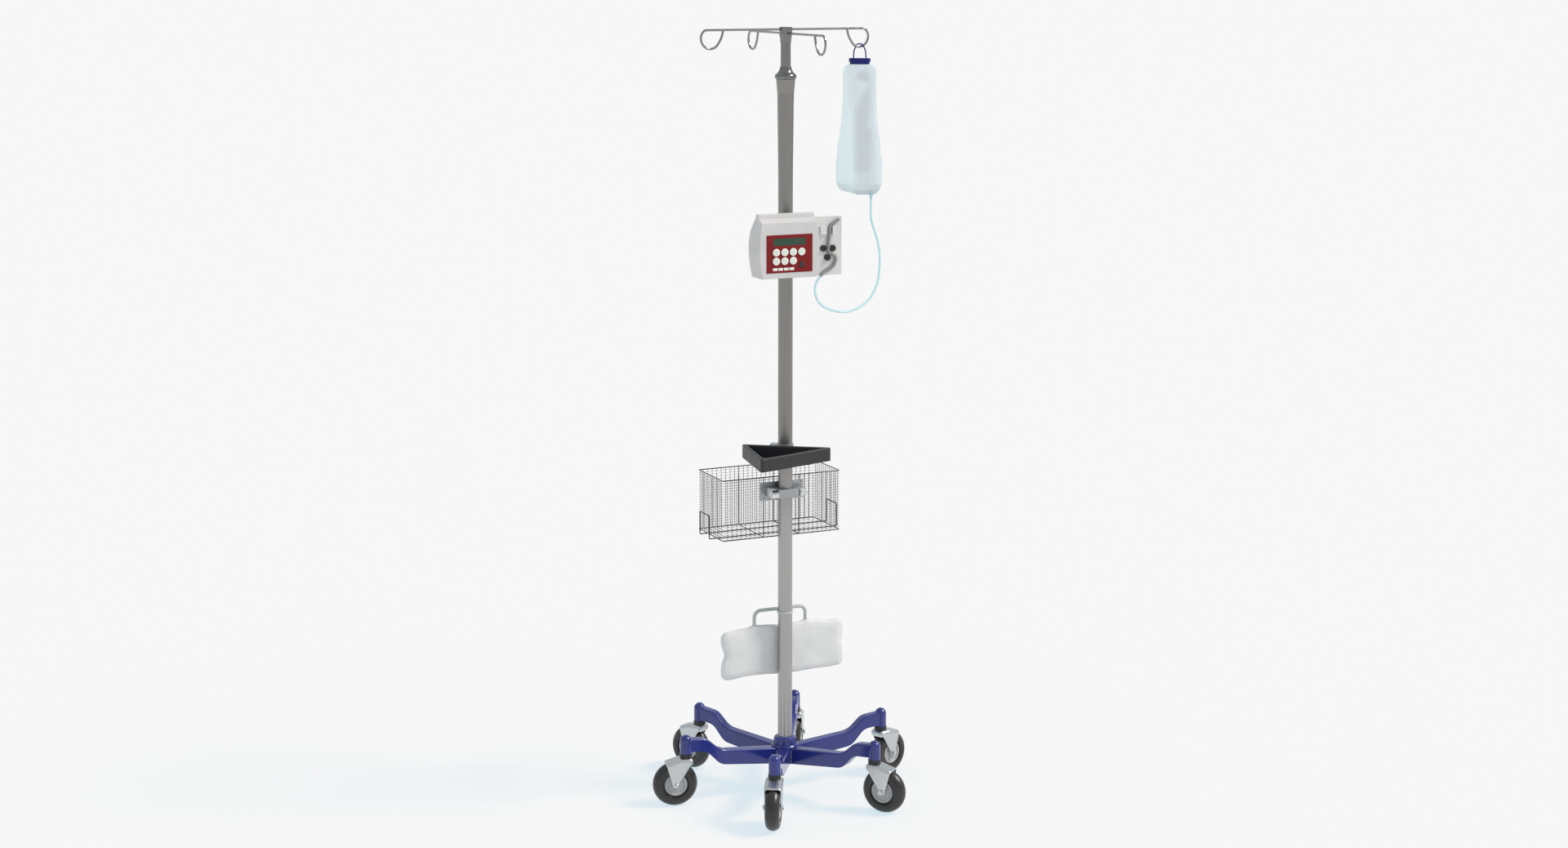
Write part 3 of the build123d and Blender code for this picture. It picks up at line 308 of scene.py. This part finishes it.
def brushed(name, colour, low, high, along=(1, 1, 0.02), scale=900, soft=0.0005):
    """Bare metal with fine parallel brushing and slow clouds of tarnish."""
    m = Nodes(name)
    cloud = m.noise(14, 5)
    line = m.noise(scale, 3, along)
    tone = m.ramp(cloud, "Fac", [(0.3, shade(colour, 0.86)), (0.7, shade(colour, 1.1))])
    streak = m.ramp(line, "Fac", [(0.35, shade(colour, 0.84)), (0.65, shade(colour, 1.12))])
    m.colour(m.mix(0.5, (tone, "Color"), (streak, "Color")))
    m.rough(line, low, high)
    m.set(Metallic=1.0)
    m.bump(line, 0.00003, 0.5, soft=soft)
    return m.material


PAINTED_SHADE_FROM_Z = 0.62      # painted shade: the pole is painted darker between these heights
PAINTED_SHADE_TO_Z = 0.78


def pole_steel_painted_shade(name, low_colour, high_colour, low, high):
    """Brushed tube with painted shade that deepens its tone slowly towards its top."""
    m = Nodes(name)
    parts = m.add("ShaderNodeSeparateXYZ")
    m.join(m.place, "Object", parts, "Vector")
    height = m.add("ShaderNodeMapRange")
    height.inputs["From Min"].default_value = PAINTED_SHADE_FROM_Z
    height.inputs["From Max"].default_value = PAINTED_SHADE_TO_Z
    m.join(parts, "Z", height, "Value")
    # painted shade: the colour blends to the darker upper colour with height
    base = m.mix((height, "Result"), low_colour, high_colour)
    line = m.noise(1500, 3, (1, 1, 0.01))
    streak = m.ramp(line, "Fac", [(0.35, 0.94), (0.65, 1.0)])
    m.colour(m.mix(1.0, base, (streak, "Color"), "MULTIPLY"))
    m.rough(line, low, high)
    m.set(Metallic=1.0)
    m.bump(line, 0.00002, 0.3)
    return m.material


def plastic(name, colour, low, high, grain=1800, depth=0.00005, soft=0.0006, coat=0.0, shine=0.5):
    """Moulded plastic: fine grain, faint mottling, and a painted highlight that lightens its edges."""
    m = Nodes(name)
    cloud = m.noise(22, 4)
    tone = m.ramp(cloud, "Fac", [(0.3, shade(colour, 0.93)), (0.7, shade(colour, 1.05))])
    edge = m.edges(0.0010)
    # painted highlight: the edges are painted lighter than the faces
    m.colour(m.mix(edge, (tone, "Color"), shade(colour, 1.18)))
    m.rough(m.noise(90, 4), low, high)
    m.set(Specular_IOR_Level=shine, Coat_Weight=coat, Coat_Roughness=0.15)
    m.bump(m.noise(grain, 3), depth, 0.6, soft=soft)
    return m.material


def rubber(name, colour, low, high):
    """Tyre rubber: dusted, with fine scuffs."""
    m = Nodes(name)
    dust = m.noise(45, 6)
    tone = m.ramp(dust, "Fac", [(0.4, colour), (0.75, shade(colour, 2.2))])
    m.colour((tone, "Color"))
    m.rough(m.noise(120, 5), low, high)
    m.set(Specular_IOR_Level=0.6)
    m.bump(m.noise(1300, 3), 0.00005, 0.5, soft=0.0004)
    return m.material


def clear(name, colour, transmission, roughness, depth=0.0002, scale=60):
    """Clear flexible film or tubing, slightly frosted."""
    m = Nodes(name)
    cloud = m.noise(35, 4)
    tone = m.ramp(cloud, "Fac", [(0.3, shade(colour, 0.95)), (0.7, shade(colour, 1.04))])
    m.colour((tone, "Color"))
    m.rough(m.noise(200, 4), roughness * 0.8, roughness * 1.2)
    m.set(Transmission_Weight=transmission, IOR=1.33, Specular_IOR_Level=0.4)
    m.bump(m.noise(scale, 4), depth, 0.4)
    return m.material


# ---------------------------------------------------------------- materials of the CAD nodes
BLUE = painted("casting_blue_paint", (0.012, 0.022, 0.20), (0.10, 0.13, 0.30))
BEARING = plastic("bearing_black_moulded", (0.012, 0.012, 0.013), 0.25, 0.4)
ZINC = brushed("fork_zinc_plate", (0.60, 0.62, 0.63), 0.26, 0.34, (1, 1, 1), 1500)
WHEEL = plastic("wheel_grey_moulded", (0.36, 0.37, 0.38), 0.30, 0.45)
TYRE = rubber("tyre_rubber", (0.012, 0.011, 0.011), 0.22, 0.42)
POLE = pole_steel_painted_shade("pole_brushed", (0.42, 0.415, 0.41), (0.272, 0.264, 0.252), 0.30, 0.40)
SLEEVE = pole_steel_painted_shade("sleeve_brushed", (0.42, 0.415, 0.41), (0.285, 0.278, 0.266), 0.28, 0.38)
NUT = brushed("nut_turned", (0.21, 0.21, 0.21), 0.12, 0.20, (0.05, 0.05, 1))
MAST = brushed("mast_polished", (0.21, 0.21, 0.21), 0.12, 0.20)
HOOKS = brushed("hook_rod_polished", (0.30, 0.31, 0.31), 0.10, 0.18, (1, 1, 1), 900)
SHELL = plastic("pump_shell_grained", (0.60, 0.595, 0.595), 0.45, 0.6, 2200, 0.00008)
RED = plastic("panel_red_film", (0.20, 0.010, 0.011), 0.42, 0.55, 2600, 0.00003, shine=0.22)
DISPLAY = plastic("display_dark_green", (0.014, 0.055, 0.028), 0.12, 0.22, 400, 0.00001)
LAMP = plastic("lamp_lens_white", (0.80, 0.78, 0.74), 0.3, 0.4)
KEY = plastic("key_cap_white", (0.82, 0.80, 0.76), 0.32, 0.45)
KEY_DARK = plastic("key_cap_dark", (0.030, 0.024, 0.028), 0.35, 0.5)
BOARD = plastic("board_lacquer", (0.02, 0.14, 0.05), 0.25, 0.4)
GUIDE = plastic("guide_plate_grained", (0.65, 0.65, 0.645), 0.42, 0.56, 2200, 0.00006)
ROLLER = plastic("roller_black_turned", (0.010, 0.010, 0.011), 0.25, 0.4)
CLAMP = brushed("clamp_blasted", (0.33, 0.34, 0.35), 0.38, 0.52, (1, 1, 1), 1400)
KNOB = plastic("knob_black_moulded", (0.014, 0.014, 0.015), 0.35, 0.5)
TRAY = plastic("tray_black_grained", (0.018, 0.019, 0.021), 0.42, 0.56, 1500, 0.00012)
BRACKET = brushed("bracket_blasted", (0.60, 0.62, 0.63), 0.35, 0.5, (1, 1, 1), 1400)
WIRE = painted("wire_black_coat", (0.010, 0.012, 0.014), (0.05, 0.05, 0.05), soft=0)
YOKE = brushed("yoke_brushed_plate", (0.40, 0.42, 0.43), 0.3, 0.45, (0.05, 1, 1), 700)
CHROME = brushed("screw_chrome", (0.72, 0.73, 0.73), 0.08, 0.18, (1, 1, 1), 300)
HANGER = plastic("hanger_white_coat", (0.47, 0.50, 0.50), 0.28, 0.4)
CAP = plastic("cap_blue_moulded", (0.006, 0.011, 0.15), 0.25, 0.38, shine=0.3)


def pump_tube_material():
    m = Nodes("tube_grey_silicone")
    cloud = m.noise(40, 3)
    m.colour((m.ramp(cloud, "Fac", [(0.3, (0.26, 0.27, 0.27)), (0.7, (0.36, 0.37, 0.37))]), "Color"))
    m.rough(m.noise(160, 4), 0.25, 0.4)
    m.set(Transmission_Weight=0.25, IOR=1.4, Subsurface_Weight=0.2)
    m.bump(m.noise(500, 3), 0.00005, 0.4)
    return m.material


SILICONE = pump_tube_material()
CLEAR_LINE = clear("line_clear_tubing", (0.70, 0.93, 0.98), 0.55, 0.22)
drip_line.data.materials.append(CLEAR_LINE)

LOOKS = {
    "base_casting": BLUE, "caster_bearings": BEARING, "outer_tube": POLE, "top_sleeve": SLEEVE,
    "collet": KEY, "lock_nut": NUT, "mast_tube": MAST, "hook_head": MAST, "hook_rods": HOOKS,
    "pump_front_shell": SHELL, "pump_rear_shell": SHELL, "keypad_panel": RED, "display_window": DISPLAY,
    "indicator_lamps": LAMP, "power_key": KEY_DARK, "pump_circuit_board": BOARD, "pump_tube": SILICONE,
    "tube_guide_plate": GUIDE, "pump_clamp": CLAMP, "pump_clamp_knob": KNOB, "tray": TRAY,
    "tray_clamp": BRACKET, "tray_clamp_knob": KNOB, "basket_cradle": WIRE, "basket_clamp": YOKE,
    "basket_screws": CHROME, "bag_hanger": HANGER, "bag_cap": CAP,
}
LOOKS.update({f"caster_fork_{i}": ZINC for i in range(1, 7)})
LOOKS.update({f"caster_hub_{i}": WHEEL for i in range(1, 7)})
LOOKS.update({f"caster_tyre_{i}": TYRE for i in range(1, 7)})
LOOKS.update({f"key_{i}": KEY for i in range(1, 8)})
LOOKS.update({f"roller_{i}": ROLLER for i in range(1, 4)})
for name, look in LOOKS.items():
    for holder in NODES[name].material_slots:
        holder.material = look

# ---------------------------------------------------------------- pale centres of the keys
KEY_CENTRE = plastic("key_centre_pale_green", (0.66, 0.75, 0.68), 0.35, 0.5)
KEY_CENTRE_R = 5.2 * MM
KEY_CENTRE_SINK = 0.4 * MM
KEY_CENTRE_RISE = 0.15 * MM
for i in range(1, 8):
    low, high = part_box(f"key_{i}")
    middle = (low + high) / 2
    bm = bmesh.new()
    back = (middle.x, low.y + KEY_CENTRE_SINK, middle.z)
    front = (middle.x, low.y - KEY_CENTRE_RISE, middle.z)
    tube(bm, [back, front], KEY_CENTRE_R, 40)
    disc = new_mesh(f"key_{i}_centre", bm, False)
    disc.data.materials.append(KEY_CENTRE)
    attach(disc, f"key_{i}_cap")

# ---------------------------------------------------------------- wire basket
low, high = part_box("wire_basket")
WIRE_R = 0.55 * MM
THIN_R = 0.33 * MM
THIN_BEND = 1.2 * MM
THICK_BEND = 2.5 * MM
THICK_R = 1.25 * MM
HOOP_R = THICK_R * 0.9
x0, x1 = low.x + THICK_R, high.x - THICK_R
y0, y1 = low.y + THICK_R, high.y - THICK_R
z0, z1 = low.z + THICK_R, high.z - THICK_R
ACROSS = 26
DEEP = 13
LEVELS = 22
THICK_X = 43 * MM


def level_corners(z):
    """The four corners of the basket at one height."""
    return [(x0, y0, z), (x1, y0, z), (x1, y1, z), (x0, y1, z)]


bm = bmesh.new()
for i in range(1, ACROSS):
    x = x0 + (x1 - x0) * i / ACROSS
    for y in (y0, y1):
        tube(bm, [(x, y, z1), (x, y, z0)], WIRE_R, 6)
    tube(bm, [(x, y0, z0), (x, y1, z0)], THIN_R, 6)
for i in range(1, DEEP):
    y = y0 + (y1 - y0) * i / DEEP
    for x in (x0, x1):
        tube(bm, [(x, y, z1), (x, y, z0)], WIRE_R, 6)
for i in range(1, LEVELS):
    z = z0 + (z1 - z0) * i / LEVELS
    tube(bm, rounded(level_corners(z), THIN_BEND, 2, True), THIN_R, 6, True)
for z in (z0, z1):
    tube(bm, rounded(level_corners(z), THICK_BEND, 4, True), THICK_R, 8, True)
for x in (-THICK_X, THICK_X):
    hoop = [(x, y0, z1), (x, y0, z0), (x, y1, z0), (x, y1, z1)]
    tube(bm, rounded(hoop, THICK_BEND, 4), HOOP_R, 8)
basket = new_mesh("basket_wires", bm)
basket.data.materials.append(WIRE)
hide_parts("wire_basket")
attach(basket, "basket_set")

# ---------------------------------------------------------------- drainage bag
low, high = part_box("drainage_bag")
BAG_MID = (low + high) / 2
BAG_HALF = (high - low) / 2
BAG_COLUMNS = 96
BAG_ROWS = 40
BAG_EDGE = [      # outline drawn in from the box: place along the width, foot lift, top drop (mm)
    (-1.0, 2, 12), (-0.88, 0, 8), (-0.6, 4, 5), (-0.45, 4, 0), (-0.3, 3, 2), (-0.1, 1, 4), (0.1, 0, 6),
    (0.25, 0, 4), (0.40, 1, 0), (0.55, 2, 4), (0.75, 2, 8), (0.88, 3, 7), (1.0, 5, 9),
]


def between(table, place, column):
    """Smoothly interpolated value of one column of a table."""
    for a, b in zip(table, table[1:]):
        if place <= b[0]:
            t = max(0.0, (place - a[0]) / (b[0] - a[0]))
            t = t * t * (3 - 2 * t)
            return a[column] * (1 - t) + b[column] * t
    return table[-1][column]


CORNER_R = 11 * MM


def round_corner(across, up, half_width, half_height):
    """Draws a point of the outline's corner square in to a quarter circle."""
    a = (abs(across) - half_width + CORNER_R) / CORNER_R
    b = (abs(up) - half_height + CORNER_R) / CORNER_R
    if a <= 0 or b <= 0:
        return across, up
    pull = max(a, b) / (a * a + b * b) ** 0.5
    across = (half_width - CORNER_R + CORNER_R * a * pull) * (1 if across > 0 else -1)
    up = (half_height - CORNER_R + CORNER_R * b * pull) * (1 if up > 0 else -1)
    return across, up


def bag_point(u, v, side):
    """A point of the pouch: u across and v up, from -1 to 1, on its front or back sheet."""
    lift = between(BAG_EDGE, u, 1) * MM
    drop = between(BAG_EDGE, u, 2) * MM
    foot = low.z + lift
    top = high.z - drop
    notch = 8.0 * MM * exp(-((v - 0.05) / 0.30) ** 2)
    reach = BAG_HALF.x + (-notch if u < 0 else 5.0 * MM - 0.3 * notch)
    across, up = round_corner(reach * u, (top - foot) / 2 * v, reach, (top - foot) / 2)
    z = (foot + top) / 2 + up
    x = BAG_MID.x + across
    fullness = max(0.0, 1 - abs(u) ** 26) ** 0.5 * max(0.0, 1 - abs(v) ** 13) ** 0.5
    fullness *= 1 - 0.06 * exp(-((abs(v) - 0.86) / 0.06) ** 2) - 0.05 * exp(-((abs(u) - 0.94) / 0.025) ** 2)
    ripple = noise.noise(Vector((x * 9, z * 16, 3.0 * side))) * 2.6 * MM
    ripple += noise.noise(Vector((x * 26, z * 34, 9.0 * side))) * 0.9 * MM
    sag = 1.5 * MM * exp(-((v + 0.5) / 0.5) ** 2)
    thick = (BAG_HALF.y - 1.6 * MM) * fullness
    return Vector((x, BAG_MID.y + side * (thick + sag * fullness) + ripple * fullness, z))


bm = bmesh.new()
sheets = {}
for side in (-1, 1):
    for i in range(BAG_COLUMNS + 1):
        for j in range(BAG_ROWS + 1):
            u = sin(pi / 2 * (2 * i / BAG_COLUMNS - 1))
            v = sin(pi / 2 * (2 * j / BAG_ROWS - 1))
            edge = i in (0, BAG_COLUMNS) or j in (0, BAG_ROWS)
            if edge and side == 1:
                sheets[side, i, j] = sheets[-1, i, j]
            else:
                sheets[side, i, j] = bm.verts.new(bag_point(u, v, side))
    for i in range(BAG_COLUMNS):
        for j in range(BAG_ROWS):
            places = [(i, j), (i + 1, j), (i + 1, j + 1), (i, j + 1)]
            bm.faces.new([sheets[side, across, up] for across, up in places])
pouch = new_mesh("drainage_pouch", bm)
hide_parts("drainage_bag")
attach(pouch, "drain_set")


def pouch_material():
    """White non-woven cloth: fine fibres, soft sheen and faint creases."""
    m = Nodes("pouch_white_cloth")
    cloud = m.noise(30, 5)
    m.colour((m.ramp(cloud, "Fac", [(0.3, (0.66, 0.67, 0.675)), (0.7, (0.73, 0.74, 0.745))]), "Color"))
    m.rough(m.noise(220, 4), 0.6, 0.8)
    m.set(Sheen_Weight=0.15, Sheen_Roughness=0.5, Subsurface_Weight=0.1)
    m.shader.inputs["Subsurface Radius"].default_value = (0.004, 0.004, 0.004)
    m.bump(m.noise(1500, 4), 0.00025, 0.5)
    return m.material


pouch.data.materials.append(pouch_material())

# ---------------------------------------------------------------- infusion bag
DRIP_X = 177 * MM
DRIP_TURN = -40.0
BAG_SECTIONS = [       # height, half width, half depth, in mm
    (1341.5, 30, 9), (1344, 39, 14), (1352, 46, 19), (1366, 50, 22), (1400, 51, 23.5),
    (1440, 47.5, 22), (1475, 42.5, 20.5), (1520, 38, 18.5), (1560, 36.2, 17), (1590, 36.5, 15.5),
    (1604, 36.6, 14), (1612, 36.0, 13.2), (1618, 33.5, 12), (1622, 28.5, 11.2), (1624, 23.0, 10.8),
]
FILM_FOOT = 1342        # mm; the folds run from here up
FILM_HEIGHT = 282
AROUND = 96
UP = 110


def drip_point(t, angle):
    """A point of the infusion bag, in its own frame: x across its width, y away from its front."""
    z = BAG_SECTIONS[0][0] + (BAG_SECTIONS[-1][0] - BAG_SECTIONS[0][0]) * t
    width = between(BAG_SECTIONS, z, 1)
    depth = between(BAG_SECTIONS, z, 2)
    c, s = cos(angle), sin(angle)
    power = 2 / 2.7
    x = width * abs(c) ** power * (1 if c >= 0 else -1)
    y = depth * abs(s) ** power * (1 if s >= 0 else -1)
    side = x / width
    height = (z - FILM_FOOT) / FILM_HEIGHT
    # a long fold on the front: full on its left, drawn in on its right, with an S at the shoulder
    fold = -0.16 + 0.42 * exp(-((height - 0.80) / 0.10) ** 2) - 0.10 * exp(-((height - 0.93) / 0.06) ** 2)
    step = 1 / (1 + exp(-(side - fold) * 16))
    fade = min(1.0, height / 0.06) * min(1.0, (1 - height) / 0.10)
    front = max(0.0, -s) ** 0.6
    y += front * fade * (3.6 * step - 1.4) * (1 - abs(side) ** 3)
    y -= max(0.0, s) ** 0.6 * fade * 1.6 * exp(-((side - 0.1) / 0.35) ** 2)
    crease = noise.noise(Vector((x * 0.05, z * 0.022, s * 1.5))) * 1.4
    crease += noise.noise(Vector((x * 0.13, z * 0.07, s * 3.0 + 4))) * 0.5
    y += crease * fade * s
    slant = 6.0 * max(0.0, -side) * max(0.0, 1 - height / 0.12)
    return Vector((x, y, z + slant))


bm = bmesh.new()
rings = []
HANG = Matrix.Translation((DRIP_X, 0, 0)) @ Matrix.Rotation(radians(DRIP_TURN), 4, "Z")
for j in range(UP + 1):
    t = j / UP
    ring = []
    for k in range(AROUND):
        ring.append(bm.verts.new(HANG @ (drip_point(t, 2 * pi * k / AROUND) * MM)))
    rings.append(ring)
for a, b in zip(rings, rings[1:]):
    for k in range(AROUND):
        bm.faces.new((a[k], a[(k + 1) % AROUND], b[(k + 1) % AROUND], b[k]))
bm.faces.new(list(reversed(rings[0])))
bm.faces.new(rings[-1])
drip_bag = new_mesh("drip_bag_film", bm)
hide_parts("iv_bag")
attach(drip_bag, "mast")


# borders of the painted light on the bag's left and of the painted shade along its fold, over the height of
# the bag: place up the bag, distance across it in mm
PAINTED_LIGHT_EDGE = [(0, -6.6), (0.15, -6.6), (0.55, -10.5), (0.73, -22), (0.87, -26), (1, -28)]
FOLD_SHADE_LEFT = [
    (0, -6.6), (0.55, -10.5), (0.64, -6), (0.734, 2.6), (0.78, 16), (0.828, 22), (0.848, 20),
    (0.864, 2), (0.874, -9), (0.892, -8), (0.915, 2), (0.935, 11), (0.955, 26), (1, 30),
]
FOLD_SHADE_RIGHT = [(0, 30), (0.49, 30), (0.53, 21), (0.64, 26), (0.80, 26), (0.87, 24), (0.93, 16), (1, 16)]
ACROSS_SPAN = 80.0      # mm across the bag that the borders are measured over
FOLDS_FROM_Z = 1.34     # the heights that the borders run between
FOLDS_TO_Z = 1.63
FOLD_SHADE_FOOT_Z = 1.391


def film_material():
    """Frosted clear film, full of clear fluid, with painted light on its left and painted shade along the
    fold down its front.
    """
    m = Nodes("drip_bag_frosted_film")
    wide = (cos(radians(DRIP_TURN)), sin(radians(DRIP_TURN)), 0)
    dot = m.add("ShaderNodeVectorMath", operation="DOT_PRODUCT")
    m.join(m.place, "Object", dot, 0)
    dot.inputs[1].default_value = wide
    wobble = m.add("ShaderNodeMath", operation="MULTIPLY_ADD")
    m.join(m.noise(45, 3), "Fac", wobble, 0)
    wobble.inputs[1].default_value = 0.004
    m.join(dot, "Value", wobble, 2)
    parts = m.add("ShaderNodeSeparateXYZ")
    m.join(m.place, "Object", parts, "Vector")
    height = m.add("ShaderNodeMapRange")
    height.inputs["From Min"].default_value = FOLDS_FROM_Z
    height.inputs["From Max"].default_value = FOLDS_TO_Z
    m.join(parts, "Z", height, "Value")
    start = DRIP_X * wide[0] + 0.002

    def beyond(border, soft):
        """1 to the right of a border, 0 to its left."""
        stops = [(up, 0.5 + across / ACROSS_SPAN) for up, across in border]
        edge = m.add("ShaderNodeMath", operation="MULTIPLY_ADD")
        m.join(m.ramp(height, "Result", stops), "Color", edge, 0)
        edge.inputs[1].default_value = ACROSS_SPAN * MM
        edge.inputs[2].default_value = start - ACROSS_SPAN * MM / 2
        gap = m.add("ShaderNodeMath", operation="SUBTRACT")
        m.join(wobble, "Value", gap, 0)
        m.join(edge, "Value", gap, 1)
        mask = m.add("ShaderNodeMapRange", interpolation_type="SMOOTHSTEP")
        mask.inputs["From Min"].default_value = -soft
        mask.inputs["From Max"].default_value = soft
        m.join(gap, "Value", mask, "Value")
        return mask, "Result"

    def times(a, b):
        node = m.add("ShaderNodeMath", operation="MULTIPLY")
        m.join(a[0], a[1], node, 0)
        m.join(b[0], b[1], node, 1)
        return node, "Value"

    right = beyond(FOLD_SHADE_RIGHT, 0.005)
    inside = m.add("ShaderNodeMath", operation="SUBTRACT")
    inside.inputs[0].default_value = 1.0
    m.join(right[0], right[1], inside, 1)
    above = m.add("ShaderNodeMapRange", interpolation_type="SMOOTHSTEP")
    above.inputs["From Min"].default_value = FOLD_SHADE_FOOT_Z - 0.002
    above.inputs["From Max"].default_value = FOLD_SHADE_FOOT_Z + 0.002
    above.inputs["To Min"].default_value = 0.35
    m.join(parts, "Z", above, "Value")
    # painted shade: a darker colour between the two fold borders, weaker below the fold's foot
    fold = times(times(beyond(FOLD_SHADE_LEFT, 0.0030), (inside, "Value")), (above, "Result"))
    cloud = m.noise(25, 5)
    tone = m.ramp(cloud, "Fac", [(0.3, (0.77, 0.86, 0.90)), (0.7, (0.83, 0.91, 0.945))])
    # painted light: bright cyan colour to the left of its border
    painted_light_side = m.mix(beyond(PAINTED_LIGHT_EDGE, 0.0020), (0.86, 0.98, 1.0), (tone, "Color"))
    m.colour(m.mix(fold, painted_light_side, (0.70, 0.755, 0.78)))
    m.rough(m.noise(160, 4), 0.30, 0.45)
    m.set(Transmission_Weight=0.78, IOR=1.16, Subsurface_Weight=0.35)
    m.shader.inputs["Subsurface Radius"].default_value = (0.012, 0.02, 0.022)
    m.bump(m.noise(900, 4), 0.0003, 0.5)
    return m.material


drip_bag.data.materials.append(film_material())

# the outlet under the bag
bm = bmesh.new()
tube(bm, [(PORT.x, PORT.y, z * MM) for z in (1336, 1337, 1338, 1343, 1344, 1352)],
     [3.4 * MM, 3.9 * MM, 4.0 * MM, 4.0 * MM, 3.4 * MM, 3.4 * MM], 20)
outlet = new_mesh("drip_bag_outlet", bm)
outlet.data.materials.append(CLEAR_LINE)
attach(outlet, "mast")

# ---------------------------------------------------------------- floor and light
bm = bmesh.new()
FLOOR = 300.0
FLOOR_Z = -0.0005
FLOOR_CORNERS = [(-FLOOR, -FLOOR), (FLOOR, -FLOOR), (FLOOR, FLOOR), (-FLOOR, FLOOR)]
bm.faces.new([bm.verts.new((x, y, FLOOR_Z)) for x, y in FLOOR_CORNERS])
floor = new_mesh("floor", bm, False)
floor_look = Nodes("floor_pale")
floor_look.set(Base_Color=(0.30, 0.175, 0.105, 1), Roughness=0.9, Specular_IOR_Level=0.0)
floor_look.set(Emission_Color=(0.582, 0.728, 0.811, 1), Emission_Strength=1.0)
floor.data.materials.append(floor_look.material)

world = bpy.data.worlds.new("studio")
scene.world = world
world.use_nodes = True
sky = world.node_tree.nodes["Background"]
sky.inputs["Color"].default_value = (0.92, 0.97, 1.0, 1)
sky.inputs["Strength"].default_value = 0.66


SUN_DIRECTION = Vector((-0.72, 0.38, -0.85))
sun = bpy.data.lights.new("key", "SUN")
sun.energy = 2.4
sun.angle = radians(18)
sun.color = (1.0, 0.93, 0.86)
key = bpy.data.objects.new("key", sun)
key.matrix_world = SUN_DIRECTION.to_track_quat("-Z", "Y").to_matrix().to_4x4()
scene.collection.objects.link(key)
